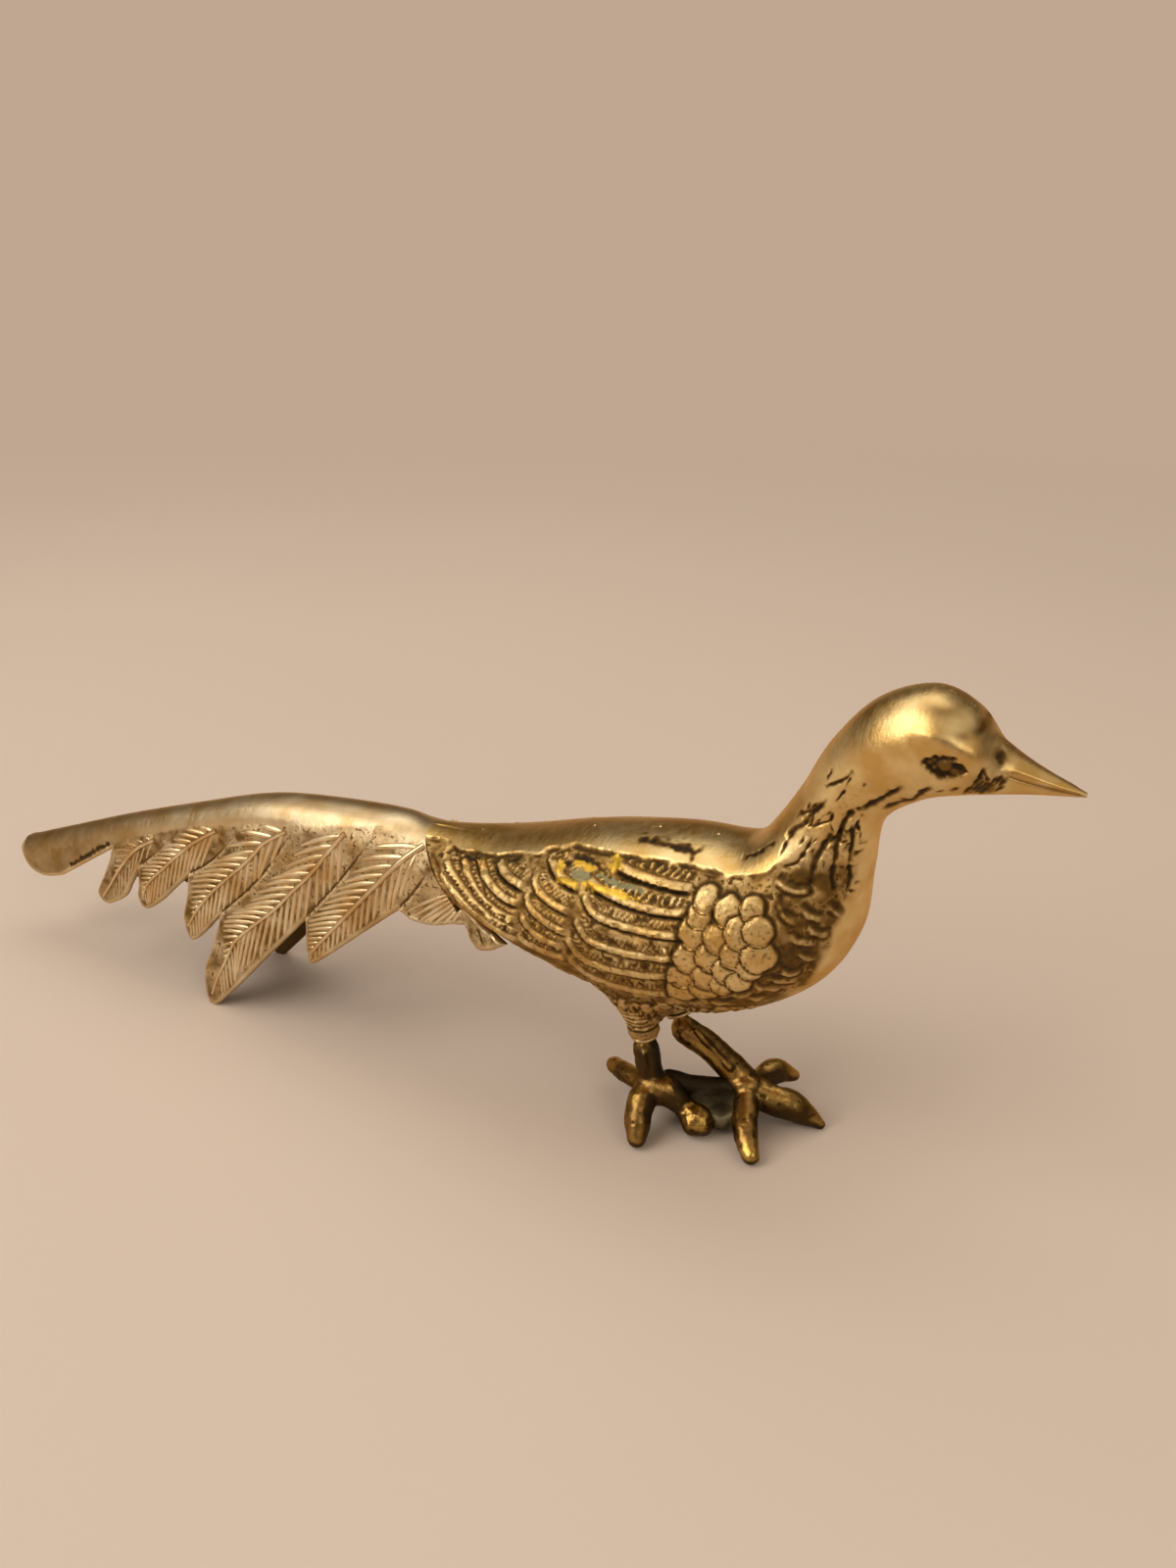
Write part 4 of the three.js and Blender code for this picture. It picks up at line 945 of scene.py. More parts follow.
def turned(points, place, axis):
    """Points modelled round +Z at the origin, moved to a place with +Z along an axis."""
    turn = np.array(Vector((0, 0, 1)).rotation_difference(Vector(axis)).to_matrix())
    return points @ turn.T + place


# Radius and height up the thigh's axis, from the bottom of the bore round to the hidden top
THIGH_END = [
    (0, 6.3), (2.2, 6.3), (2.2, 0), (3.75, 0), (3.95, 0.25), (3.95, 2.3), (3.75, 2.5),
    (3.85, 2.75), (4.1, 4), (4.7, 6), (5.4, 8), (6, 10), (4, 10.5), (0, 10.5),
]


def thigh_end(name, side, material, seed):
    """The thigh's cast end: a textured cone, a plain collar and the bore for the leg's peg."""
    socket, axis = thigh_axis(LEGS[side])
    profile = dense(np.array(THIGH_END, float), 0.22)
    around = np.linspace(0, 2 * math.pi, 97)[:-1]
    radius, height = profile[:, 0][:, None], profile[:, 1][:, None]
    across = [radius * np.cos(around), radius * np.sin(around)]
    flat = np.stack([*across, height + 0 * around], axis=-1).reshape(-1, 3)
    outside = ((radius > 3) & (height > 0.1) & (height < 10.2)) * np.ones(len(around))
    outside = outside.ravel()
    tufts = np.sin(2 * math.pi * (flat[:, 2] / 1.5 + 0.2 * grain(flat, 2, seed)))
    tufts *= ramp(flat[:, 2], 2.6, 3.6)
    marks = 0.16 * grain(flat, 1.2, seed) + 0.07 * grain(flat, 0.6, seed + 1)
    rise = outside * (0.16 * tufts + marks * (0.5 + 0.5 * ramp(flat[:, 2], 2.4, 3)))
    spoke = flat * np.array([1, 1, 0])
    spoke /= np.maximum(np.linalg.norm(spoke, axis=1, keepdims=True), 1e-6)
    flat = flat + spoke * rise[:, None]
    patina_and_shade = np.clip(0.25 - 1.6 * rise + 0.9 * bump(flat[:, 2] - 2.5, 0.18), 0, 1) * outside
    patina_and_shade = np.maximum(patina_and_shade, 1 - outside)
    columns = len(around)
    rows = flat.reshape(-1, columns, 3)
    closed = np.concatenate([rows, rows[:, :1]], axis=1)
    shade = patina_and_shade.reshape(-1, columns)
    shade = np.concatenate([shade, shade[:, :1]], axis=1).ravel()
    points = turned(closed.reshape(-1, 3), socket, axis)
    faces = list(faces_of_grid(len(profile), columns + 1, False))
    values = {"patina_and_shade": shade, "cast": np.ones(len(points))}
    piece = new_piece(name, points, faces, material, values)
    outwards(piece)
    return piece


def tube_faces(count, sides):
    """Quads between closed rings of points, with one flat face over each end."""
    first = (np.arange(count - 1)[:, None] * sides + np.arange(sides)).ravel()
    after = (np.arange(count - 1)[:, None] * sides + (np.arange(sides) + 1) % sides).ravel()
    faces = np.stack([first, after, after + sides, first + sides], axis=-1).tolist()
    return faces + [list(range(sides))[::-1], list(range((count - 1) * sides, count * sides))]


def limb(points, radii, sides=20, steps=6, flat=1.0):
    """A closed tube with a rounded end along a smooth line, as points and faces."""
    line = through(points, steps)
    size = through(np.array(radii, float)[:, None], steps)[:, 0]
    ahead = np.gradient(line, axis=0)
    ahead /= np.linalg.norm(ahead, axis=1, keepdims=True)
    across = np.cross(ahead, np.array([0.12, 0.05, 1.0]))
    across /= np.linalg.norm(across, axis=1, keepdims=True)
    up = np.cross(across, ahead)
    rings = []
    for turn in np.radians([-88, -60, -30]):
        rings.append((line[0] + ahead[0] * size[0] * math.sin(turn), size[0] * math.cos(turn), 0))
    rings += [(line[i], size[i], i) for i in range(len(line))]
    for turn in np.radians([30, 60, 88]):
        centre = line[-1] + ahead[-1] * size[-1] * math.sin(turn)
        rings.append((centre, size[-1] * math.cos(turn), -1))
    around = np.linspace(0, 2 * math.pi, sides, endpoint=False)[:, None]
    cos, sin = np.cos(around), np.sin(around)
    grid = [c + r * (cos * across[i] + flat * sin * up[i]) for c, r, i in rings]
    return np.vstack(grid), tube_faces(len(rings), sides)


def fused(name, limbs):
    """Limbs melted into one closed casting: its points in mm, their normals and its faces."""
    points, faces, start = [], [], 0
    for limb_points, limb_faces in limbs:
        points.append(limb_points)
        faces += [[c + start for c in corners] for corners in limb_faces]
        start += len(limb_points)
    mesh = bpy.data.meshes.new(name)
    mesh.from_pydata(np.vstack(points).tolist(), [], faces)
    rough = bpy.data.objects.new(name + "_rough", mesh)
    bpy.context.scene.collection.objects.link(rough)
    outwards(rough)
    melt = rough.modifiers.new("melt", "REMESH")
    melt.mode = "VOXEL"
    melt.voxel_size = CASTING_STEP
    soften = rough.modifiers.new("soften", "SMOOTH")
    soften.iterations = 4
    seen = rough.evaluated_get(bpy.context.evaluated_depsgraph_get())
    made = bpy.data.meshes.new_from_object(seen)
    bpy.data.objects.remove(rough)
    place = np.empty(len(made.vertices) * 3, np.float32)
    normal = np.empty(len(made.vertices) * 3, np.float32)
    made.vertices.foreach_get("co", place)
    made.vertex_normals.foreach_get("vector", normal)
    corners = [np.array(polygon.vertices) for polygon in made.polygons]
    bpy.data.meshes.remove(made)
    return place.reshape(-1, 3).astype(float), normal.reshape(-1, 3).astype(float), corners


def ball(centre, radii, sides=20):
    """A closed ball as points and faces."""
    angle = np.linspace(0.05, math.pi - 0.05, sides // 2)
    around = np.linspace(0, 2 * math.pi, sides, endpoint=False)
    out, up = np.sin(angle)[:, None], np.cos(angle)[:, None]
    sphere = np.stack([out * np.cos(around), out * np.sin(around), up + 0 * around], axis=-1)
    grid = sphere * np.array(radii) + np.array(centre)
    return grid.reshape(-1, 3), tube_faces(len(angle), sides)


def weathered(points, normal, coarse, fine, seed):
    """The skin of an unworked casting: lumps, sand marks, dark pits, and painted shade: darker
    facing down, lighter facing up.
    """
    rise = coarse * grain(points, 2.6, seed) + fine * grain(points, 1.0, seed + 1)
    rise += 0.5 * fine * grain(points, 0.5, seed + 2)
    pits = ramp(grain(points, 1.2, seed + 3), 0.55, 0.85)
    moved = points + normal * (rise - 0.15 * pits)[:, None]
    moved[:, 2] = np.maximum(moved[:, 2], 0)
    cloud = 0.16 * grain(points, 4.5, seed + 4) + 0.08 * grain(points, 1.6, seed + 5)
    low = 1 - ramp(points[:, 2], 0, 3.5)
    # hollow mixes patina in dips and pits with painted shade: darker on faces turned down, lighter
    # on faces turned up. It is also darker near the floor.
    hollow = 0.55 - 0.5 * normal[:, 2] - 0.5 * rise + cloud + 0.35 * pits + 0.25 * low
    return moved, np.clip(hollow, 0, 1)


def leg_casting(name, side, material, seed):
    leg = LEGS[side]
    socket, axis = thigh_axis(leg)
    shoulder = socket - axis * (RING_HEIGHT + 2 * FIT_GAP)
    hub = np.array(leg["hub"], float)
    girth = leg["girth"]
    shank = [shoulder - axis * girth, (shoulder + hub) / 2, hub]
    limbs = [limb(shank, [girth, girth, girth * 1.1]), ball(hub, HUB_RADII), ball(*leg["lump"])]
    peg = [socket - axis * 4, socket + axis * 5]
    limbs.append(limb(peg, [PEG_RADIUS, PEG_RADIUS], sides=16, steps=4))
    for toe in leg["toes"]:
        rows = np.array(toe)
        limbs.append(limb([hub, *rows[:, :3]], [rows[0, 3], *rows[:, 3]]))
    flash = np.array(leg["flash"])
    limbs.append(limb(flash[:, :3], flash[:, 3], sides=10))
    points, normal, faces = fused(name, limbs)
    reach = (points - shoulder) @ axis
    shown = 1 - ramp(reach, -0.6, 0)
    moved, hollow = weathered(points, normal, coarse=0.2, fine=0.09, seed=seed)
    # The near foot's third toe ends in a lump that stayed as rough as it came from the mould
    lump = np.array(leg["toes"][2][-1][:3])
    clawed = bump(np.linalg.norm(points - lump, axis=1), 5) * (side == RIGHT)
    crust = 0.35 * grain(points, 1.3, seed + 6) + 0.2 * grain(points, 0.8, seed + 7)
    moved += normal * (clawed * crust)[:, None]
    hollow = np.clip(hollow - 1.2 * clawed * crust, 0, 1)
    moved = points + (moved - points) * shown[:, None]
    moved[:, 2] = np.maximum(moved[:, 2], 0)
    # The toe ends are made lighter: wear at the ends, and a painted highlight on their faces
    # turned up.
    ends = np.array([toe[-1][:3] for toe in leg["toes"]])
    away = np.linalg.norm(points[:, None] - ends, axis=2).min(axis=1)
    worn = (1 - ramp(away, 2.5, 7)) * ramp(normal[:, 2], -0.3, 0.4)
    hollow *= 1 - 0.75 * worn
    # Painted shade: the shank's side turned away from the lamps is made darker, more so higher up.
    turned_away = normal @ SHADED_SIDE
    high = ramp(points[:, 2], 8, 12)
    dark, red = leg["shade"]
    hollow = np.clip(hollow + dark * ramp(turned_away, 0.1, 0.6) * (0.4 + 0.6 * high), 0, 1)
    heat = red * high * ramp(-turned_away, -0.15, 0.2)
    values = {"patina_and_shade": hollow * (1 - 0.5 * heat), "cast": 0.3 - 0.25 * worn, "heat": heat}
    return new_piece(name, moved, faces, material, values)


def foot_web(name, material, seed):
    """The filler that runs between the two feet, with a rough nub on it."""
    limbs = [
        limb([(-9, -2.5, 4.4), (-4.5, -2, 5.4), (0, -0.5, 5.8), (4, 2, 6)], [3.2, 3.8, 4, 3.4]),
        ball((-6.5, -2.5, 4.6), (3.2, 3.4, 3.2)), ball((1, -3.6, 4.6), (4.6, 3.8, 3.6)),
        ball((4.6, -2.4, 4.6), (3.2, 3.2, 3.2)),
        limb([(-12.6, -4.4, 11.6), (-8, -2, 9.6), (-2, 1, 8.6), (2.6, 3, 8.8)],
             [2.4, 2.6, 2.6, 2.4]),
    ]
    points, normal, faces = fused(name, limbs)
    moved, hollow = weathered(points, normal, coarse=0.2, fine=0.08, seed=seed)
    # The filler's upper part is made near black.
    dark_top = ramp(points[:, 2] - 0.35 * points[:, 1], 8, 9.6)
    values = {"patina_and_shade": np.maximum(0.55 * hollow, dark_top), "cast": np.full(len(moved), 0.3)}
    return new_piece(name, moved, faces, material, values)


# Geometry Nodes
def geometry_tree(name, inputs):
    """An empty node tree with a geometry input, named number inputs and a geometry output."""
    tree = bpy.data.node_groups.new(name, "GeometryNodeTree")
    tree.interface.new_socket("Geometry", in_out="INPUT", socket_type="NodeSocketGeometry")
    for label, kind in inputs.items():
        tree.interface.new_socket(label, in_out="INPUT", socket_type=kind)
    tree.interface.new_socket("Geometry", in_out="OUTPUT", socket_type="NodeSocketGeometry")
    return tree, add_node(tree, "NodeGroupInput").outputs


def grown(name, tree, start, values):
    """The plain mesh that a tree makes from a starting mesh, as a new object."""
    holder = bpy.data.objects.new(name, start)
    bpy.context.scene.collection.objects.link(holder)
    maker = holder.modifiers.new("maker", "NODES")
    maker.node_group = tree
    inputs = [item for item in tree.interface.items_tree if item.in_out == "INPUT"]
    sockets = {item.name: item.identifier for item in inputs}
    for label, value in values.items():
        maker[sockets[label]] = value
    seen = holder.evaluated_get(bpy.context.evaluated_depsgraph_get())
    mesh = bpy.data.meshes.new_from_object(seen)
    holder.modifiers.remove(maker)
    holder.data = mesh
    mesh.name = name
    mesh.polygons.foreach_set("use_smooth", [True] * len(mesh.polygons))
    return holder


def ring_tree():
    """Filler metal run round a joint: a section swept round a circle, then made uneven."""
    number = "NodeSocketFloat"
    tree, given = geometry_tree("brazing_ring", {
        "Radius": number, "Thickness": number, "Unevenness": number, "Lump Size": number,
        "Seed": number, "Material": "NodeSocketMaterial",
    })
    path = add_node(tree, "GeometryNodeCurvePrimitiveCircle", {
        "Resolution": 96, "Radius": given["Radius"],
    })
    section = add_node(tree, "GeometryNodeCurvePrimitiveCircle", {
        "Resolution": 14, "Radius": given["Thickness"],
    })
    swept = add_node(tree, "GeometryNodeCurveToMesh", {
        "Curve": path.outputs[0], "Profile Curve": section.outputs[0],
    })
    place = add_node(tree, "GeometryNodeInputPosition").outputs[0]
    scale = add_node(tree, "ShaderNodeMath", {
        0: 1.0, 1: given["Lump Size"],
    }, operation="DIVIDE").outputs[0]
    lumps = add_node(tree, "ShaderNodeTexNoise", {
        "Vector": place, "W": given["Seed"], "Scale": scale,
    }, noise_dimensions="4D")
    centred = add_node(tree, "ShaderNodeMath", {
        0: lumps.outputs["Fac"], 1: 0.5,
    }, operation="SUBTRACT").outputs[0]
    rise = add_node(tree, "ShaderNodeMath", {
        0: centred, 1: given["Unevenness"],
    }, operation="MULTIPLY").outputs[0]
    outward = add_node(tree, "GeometryNodeInputNormal").outputs[0]
    push = add_node(tree, "ShaderNodeVectorMath", {
        0: outward, "Scale": rise,
    }, operation="SCALE").outputs[0]
    moved = add_node(tree, "GeometryNodeSetPosition", {
        "Geometry": swept.outputs[0], "Offset": push,
    })
    real = add_node(tree, "GeometryNodeRealizeInstances", {"Geometry": moved.outputs[0]})
    painted = add_node(tree, "GeometryNodeSetMaterial", {
        "Geometry": real.outputs[0], "Material": given["Material"],
    })
    add_node(tree, "NodeGroupOutput", {"Geometry": painted.outputs[0]})
    return tree


def barb_tree():
    """Raised barbs: a round section swept along short lines, as thick as their points say."""
    number = "NodeSocketFloat"
    tree, given = geometry_tree("feather_barbs", {
        "Thickness": number, "Waver": number, "Seed": number, "Material": "NodeSocketMaterial",
    })
    lines = add_node(tree, "GeometryNodeMeshToCurve", {"Mesh": given["Geometry"]})
    place = add_node(tree, "GeometryNodeInputPosition").outputs[0]
    wave = add_node(tree, "ShaderNodeTexNoise", {
        "Vector": place, "W": given["Seed"], "Scale": 1 / (2.4 * MM),
    }, noise_dimensions="4D")
    centred = add_node(tree, "ShaderNodeVectorMath", {
        0: wave.outputs["Color"], 1: (0.5, 0.5, 0.5),
    }, operation="SUBTRACT").outputs[0]
    shift = add_node(tree, "ShaderNodeVectorMath", {
        0: centred, "Scale": given["Waver"],
    }, operation="SCALE").outputs[0]
    bent = add_node(tree, "GeometryNodeSetPosition", {
        "Geometry": lines.outputs[0], "Offset": shift,
    })
    own = add_node(tree, "GeometryNodeInputNamedAttribute", {
        "Name": "thick",
    }, data_type="FLOAT").outputs[0]
    thick = add_node(tree, "ShaderNodeMath", {
        0: own, 1: given["Thickness"],
    }, operation="MULTIPLY").outputs[0]
    section = add_node(tree, "GeometryNodeCurvePrimitiveCircle", {"Resolution": 8, "Radius": 1.0})
    swept = add_node(tree, "GeometryNodeCurveToMesh", {
        "Curve": bent.outputs[0], "Profile Curve": section.outputs[0], "Scale": thick,
        "Fill Caps": True,
    })
    real = add_node(tree, "GeometryNodeRealizeInstances", {"Geometry": swept.outputs[0]})
    painted = add_node(tree, "GeometryNodeSetMaterial", {
        "Geometry": real.outputs[0], "Material": given["Material"],
    })
    add_node(tree, "NodeGroupOutput", {"Geometry": painted.outputs[0]})
    return tree


def line_mesh(name, lines, thick):
    """A mesh of open lines in mm, with a thickness for each point of them."""
    edges, start = [], 0
    for line in lines:
        edges += [(start + i, start + i + 1) for i in range(len(line) - 1)]
        start += len(line)
    mesh = bpy.data.meshes.new(name)
    mesh.from_pydata(in_frame(np.vstack(lines)).tolist(), edges, [])
    layer = mesh.attributes.new("thick", "FLOAT", "POINT")
    layer.data.foreach_set("value", np.concatenate(thick).astype(np.float32))
    return mesh


BARB_LEANS = (-37, 35)  # degrees from the shaft, above it and below


def tail_barb_lines(side):
    """Barbs from each shaft to its feather's edges, and the shafts: lines and thicknesses."""
    outline = tail_outline()
    lines, thick = [], []

    def allowed(number, x, z):
        inside = within(outline, x, z) & within(ahead_of(number), x, z)
        if number > 0:
            inside &= ~within(ahead_of(number - 1), x, z)
        return inside & (below_band(x, z) > 0.4)

    def lay(number, start, along, pitch, longest):
        reach = np.arange(0.7, longest, 0.25)
        x, z = start[0] + along[0] * reach, start[1] + along[1] * reach
        z = z - 0.012 * reach**2 * (along[0] < -0.8)
        inside = allowed(number, x, z)
        first = int(np.argmax(inside))
        rest = inside[first:]
        stop = len(rest) if rest.all() else int(np.argmin(rest))
        if stop < 8:
            return
        take = first + np.linspace(0, stop - 4, 7).astype(int)
        x, z = x[take], z[take]
        radius = 0.37 * pitch
        lines.append(on_tail(x, z, side, tail_height(x, z) - 0.45 * radius))
        swell = np.array([0.6, 0.95, 1, 1, 1, 0.85, 0.4]) * (1 if number < 6 else 0.6)
        thick.append(radius * swell)

    for number, rachis in RACHIS.items():
        smooth = dense(through(rachis), 0.2)
        travel = np.concatenate([[0], np.cumsum(np.linalg.norm(np.diff(smooth, axis=0), axis=1))])
        at = 1.2
        while at < travel[-1] - 1.5:  # a pair of barbs for each step along the shaft
            share = at / travel[-1]
            pitch = 2.6 - 1.4 * share if number < 5 else 1.9 - 0.8 * share
            place = np.array([np.interp(at, travel, smooth[:, i]) for i in (0, 1)])
            ahead = np.array([np.interp(at + 1.5, travel, smooth[:, i]) for i in (0, 1)])
            along = (ahead - place) / np.linalg.norm(ahead - place)
            for lean in BARB_LEANS:
                turn = math.radians(lean)
                direction = (along[0] * math.cos(turn) - along[1] * math.sin(turn),
                             along[0] * math.sin(turn) + along[1] * math.cos(turn))
                lay(number, place, direction, pitch, 15)
            at += pitch * 1.65
        x, z = smooth[::8, 0], smooth[::8, 1]
        keep = below_band(x, z) > -0.3
        x, z = x[keep], z[keep]
        lines.append(on_tail(x, z, side, tail_height(x, z) + 0.05))
        slender = 0.95 if number == 2 else 0.75
        thick.append(slender * np.linspace(1, 0.6, len(x)))
    for degrees in range(194, 240, 6):  # the covert's barbs fan out from under the wing
        turn = math.radians(degrees)
        lay(1, (-62, 57), (math.cos(turn), math.sin(turn)), 1.7, 26)
    return lines, thick


def on_tail(x, z, side, height):
    depth = tail_depth(x, z)
    base = tail_point(x, depth, side)
    raised = base + tail_normal(x, depth, side) * np.asarray(height)[:, None]
    raised[:, 2] = np.maximum(raised[:, 2], 0.9)
    return raised


def tail_barbs(name, side, tree, material):
    return grown(name, tree, line_mesh(name, *tail_barb_lines(side)), {
        "Thickness": MM, "Waver": 0.35 * MM, "Seed": 7.0 + side, "Material": material,
    })


def brazing_ring(name, side, tree, material):
    socket, axis = thigh_axis(LEGS[side])
    ring = grown(name, tree, bpy.data.meshes.new(name), {
        "Radius": 2.95 * MM, "Thickness": 0.6 * MM, "Unevenness": 0.6 * MM,
        "Lump Size": 1.6 * MM, "Seed": 3.0 + side, "Material": material,
    })
    centre = socket - axis * (FIT_GAP + RING_HEIGHT / 2)
    turn = Vector((0, 0, 1)).rotation_difference(Vector(axis)).to_matrix().to_4x4()
    ring.data.transform(turn)
    shift = Vector(in_frame(centre))
    for vertex in ring.data.vertices:
        vertex.co += shift
    return ring


# Materials. Sizes of the patterns in the metal, in mm. Real grit and rubbing marks are some
# 0.1 mm, and are drawn this coarse so that they show.
CLOUD_SIZE, GRIT_SIZE, RUBBING_SIZE, BUMP_HEIGHT = 9, 0.9, 0.4, 0.25


def linear(hex_colour):
    """An sRGB hex colour as linear red, green, blue and alpha."""
    channels = [int(hex_colour[i:i + 2], 16) / 255 for i in (1, 3, 5)]
    return [c / 12.92 if c <= 0.04045 else ((c + 0.055) / 1.055) ** 2.4 for c in channels] + [1.0]


def add_node(tree, kind, inputs=None, **settings):
    """A node with its settings, whose inputs are numbers, colours or other nodes' outputs."""
    made = tree.nodes.new(kind)
    for label, value in settings.items():
        setattr(made, label, value)
    for key, value in (inputs or {}).items():
        if isinstance(value, bpy.types.NodeSocket):
            tree.links.new(value, made.inputs[key])
        else:
            made.inputs[key].default_value = value
    return made


HEAT_RED, VERDIGRIS_GREEN, GILT_YELLOW = "#8C4E22", "#86825F", "#D2AB3C"
WARM_GLINT = "#FFDDA6"


def aged_brass(name, bright, middle, brown, black, roughness, lustre=1.0):
    """Cast brass that is bright where hands rub it, and brown to black in its hollows and where
    shade is painted on.
    """
    material = bpy.data.materials.new(name)
    material.use_nodes = True
    tree = material.node_tree
    tree.nodes.clear()
    place = add_node(tree, "ShaderNodeTexCoord").outputs["Object"]
    patina_and_shade = add_node(tree, "ShaderNodeAttribute", attribute_name="patina_and_shade").outputs["Fac"]
    cast = add_node(tree, "ShaderNodeAttribute", attribute_name="cast").outputs["Fac"]
    gilt = add_node(tree, "ShaderNodeAttribute", attribute_name="gilt").outputs["Fac"]
    verdigris = add_node(tree, "ShaderNodeAttribute", attribute_name="verdigris").outputs["Fac"]
    heat = add_node(tree, "ShaderNodeAttribute", attribute_name="heat").outputs["Fac"]
    blotch = add_node(tree, "ShaderNodeTexNoise", {
        "Vector": place, "Scale": 1 / (CLOUD_SIZE * MM), "Detail": 4.0,
    }).outputs["Fac"]
    grit = add_node(tree, "ShaderNodeTexNoise", {
        "Vector": place, "Scale": 1 / (GRIT_SIZE * MM), "Detail": 3.0,
    }).outputs["Fac"]
    across = add_node(tree, "ShaderNodeVectorMath", {
        0: place, 1: (1.0, 0.12, 0.12),
    }, operation="MULTIPLY").outputs[0]
    strokes = add_node(tree, "ShaderNodeTexNoise", {
        "Vector": across, "Scale": 1 / (RUBBING_SIZE * MM), "Detail": 2.0,
    }).outputs["Fac"]

    # Colour: two brasses in clouds, then brown, then black as the patina and painted shade deepen
    clouds = add_node(tree, "ShaderNodeMapRange", {
        "Value": blotch, "From Min": 0.35, "From Max": 0.65,
    }).outputs["Result"]
    tone = add_node(tree, "ShaderNodeMix", {
        0: clouds, 6: linear(middle), 7: linear(bright),
    }, data_type="RGBA").outputs[2]
    dust = add_node(tree, "ShaderNodeMapRange", {
        "Value": grit, "From Min": 0.52, "From Max": 0.7, "To Max": 0.75,
    }).outputs["Result"]
    specks = add_node(tree, "ShaderNodeMath", {0: dust, 1: cast}, operation="MULTIPLY").outputs[0]
    depth = add_node(tree, "ShaderNodeMath", {
        0: patina_and_shade, 1: specks,
    }, operation="MAXIMUM").outputs[0]
    browned = add_node(tree, "ShaderNodeMapRange", {
        "Value": depth, "From Max": 0.5,
    }).outputs["Result"]
    stained = add_node(tree, "ShaderNodeMix", {
        0: browned, 6: tone, 7: linear(brown),
    }, data_type="RGBA").outputs[2]
    fired = add_node(tree, "ShaderNodeMix", {
        0: heat, 6: stained, 7: linear(HEAT_RED),
    }, data_type="RGBA").outputs[2]
    blackened = add_node(tree, "ShaderNodeMapRange", {
        "Value": depth, "From Min": 0.45,
    }).outputs["Result"]
    aged = add_node(tree, "ShaderNodeMix", {
        0: blackened, 6: fired, 7: linear(black),
    }, data_type="RGBA").outputs[2]
    greened = add_node(tree, "ShaderNodeMix", {
        0: verdigris, 6: aged, 7: linear(VERDIGRIS_GREEN),
    }, data_type="RGBA").outputs[2]
    colour = add_node(tree, "ShaderNodeMix", {
        0: gilt, 6: greened, 7: linear(GILT_YELLOW),
    }, data_type="RGBA").outputs[2]

    # Surface: fine crosswise rubbing marks on the smooth parts, grit on the cast ones
    covered = add_node(tree, "ShaderNodeMath", {
        0: depth, 1: verdigris,
    }, operation="MAXIMUM").outputs[0]
    metal = add_node(tree, "ShaderNodeMapRange", {
        "Value": covered, "From Min": 0.4, "To Min": lustre, "To Max": 0.3 * lustre,
    }).outputs["Result"]
    waxed = add_node(tree, "ShaderNodeMapRange", {
        "Value": covered, "From Max": 0.6, "To Min": 0.3, "To Max": 0.0,
    }).outputs["Result"]
    rubbed = add_node(tree, "ShaderNodeMapRange", {
        "Value": strokes, "From Min": 0.3, "From Max": 0.7,
        "To Min": roughness - 0.05, "To Max": roughness + 0.07,
    }).outputs["Result"]
    rough = add_node(tree, "ShaderNodeMath", {0: covered, 1: cast}, operation="MAXIMUM").outputs[0]
    dull = add_node(tree, "ShaderNodeMath", {
        0: rough, 1: 0.2, 2: rubbed,
    }, operation="MULTIPLY_ADD").outputs[0]
    surface = add_node(tree, "ShaderNodeMath", {
        0: strokes, 1: 0.4, 2: grit,
    }, operation="MULTIPLY_ADD").outputs[0]
    strength = add_node(tree, "ShaderNodeMapRange", {
        "Value": cast, "To Min": 0.2, "To Max": 0.55,
    }).outputs["Result"]
    marks = add_node(tree, "ShaderNodeBump", {
        "Height": surface, "Distance": BUMP_HEIGHT * MM, "Strength": strength,
    }).outputs["Normal"]
    shader = add_node(tree, "ShaderNodeBsdfPrincipled", {
        "Base Color": colour, "Metallic": metal, "Roughness": dull, "Normal": marks,
        "Coat Weight": waxed, "Coat Roughness": 0.3, "Specular Tint": linear(WARM_GLINT),
    })
    add_node(tree, "ShaderNodeOutputMaterial", {"Surface": shader.outputs[0]})
    return material


# Satin gold-brown with cream highlights, from years of handling
body_brass = aged_brass(
    "hand_polished_cast_brass", "#E4CA90", "#CAA25B", "#79592A", "#171006", 0.34)
# The same metal made paler and less yellow along the tail: a painted cream highlight
tail_brass_painted_paler = aged_brass(
    "polished_cast_brass_painted_paler", "#E8D6B0", "#CCAB76", "#7A5D31", "#191108", 0.34)
# Dark olive-brown with gold on the high places and a wet gleam
leg_brass = aged_brass("unpolished_cast_brass", "#D2A955", "#96713A", "#4A361A", "#100B05", 0.26)
# Paler and duller than the casting, where the joint was filed
filler_brass = aged_brass("filed_brazing_brass", "#DCC798", "#BE9F68", "#6E552E", "#20170B", 0.42)
# Grey-green, smooth and soft-edged
solder = aged_brass("dull_grey_solder", "#9C9373", "#7A7254", "#463F2B", "#110D07", 0.4, 0.7)


# Pieces
def finish_piece(piece, node):
    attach(piece, "root")
    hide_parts(node)


SIDES = (("right", RIGHT), ("left", LEFT))
for word, side in SIDES:
    seed = 10 if side == RIGHT else 40
    body = body_half(word + "_body_casting", side, body_brass, seed)
    finish_piece(body, word + "_body_shell")
    tail = tail_half(word + "_tail_casting", side, tail_brass_painted_paler, seed)
    finish_piece(tail, word + "_tail_panel")

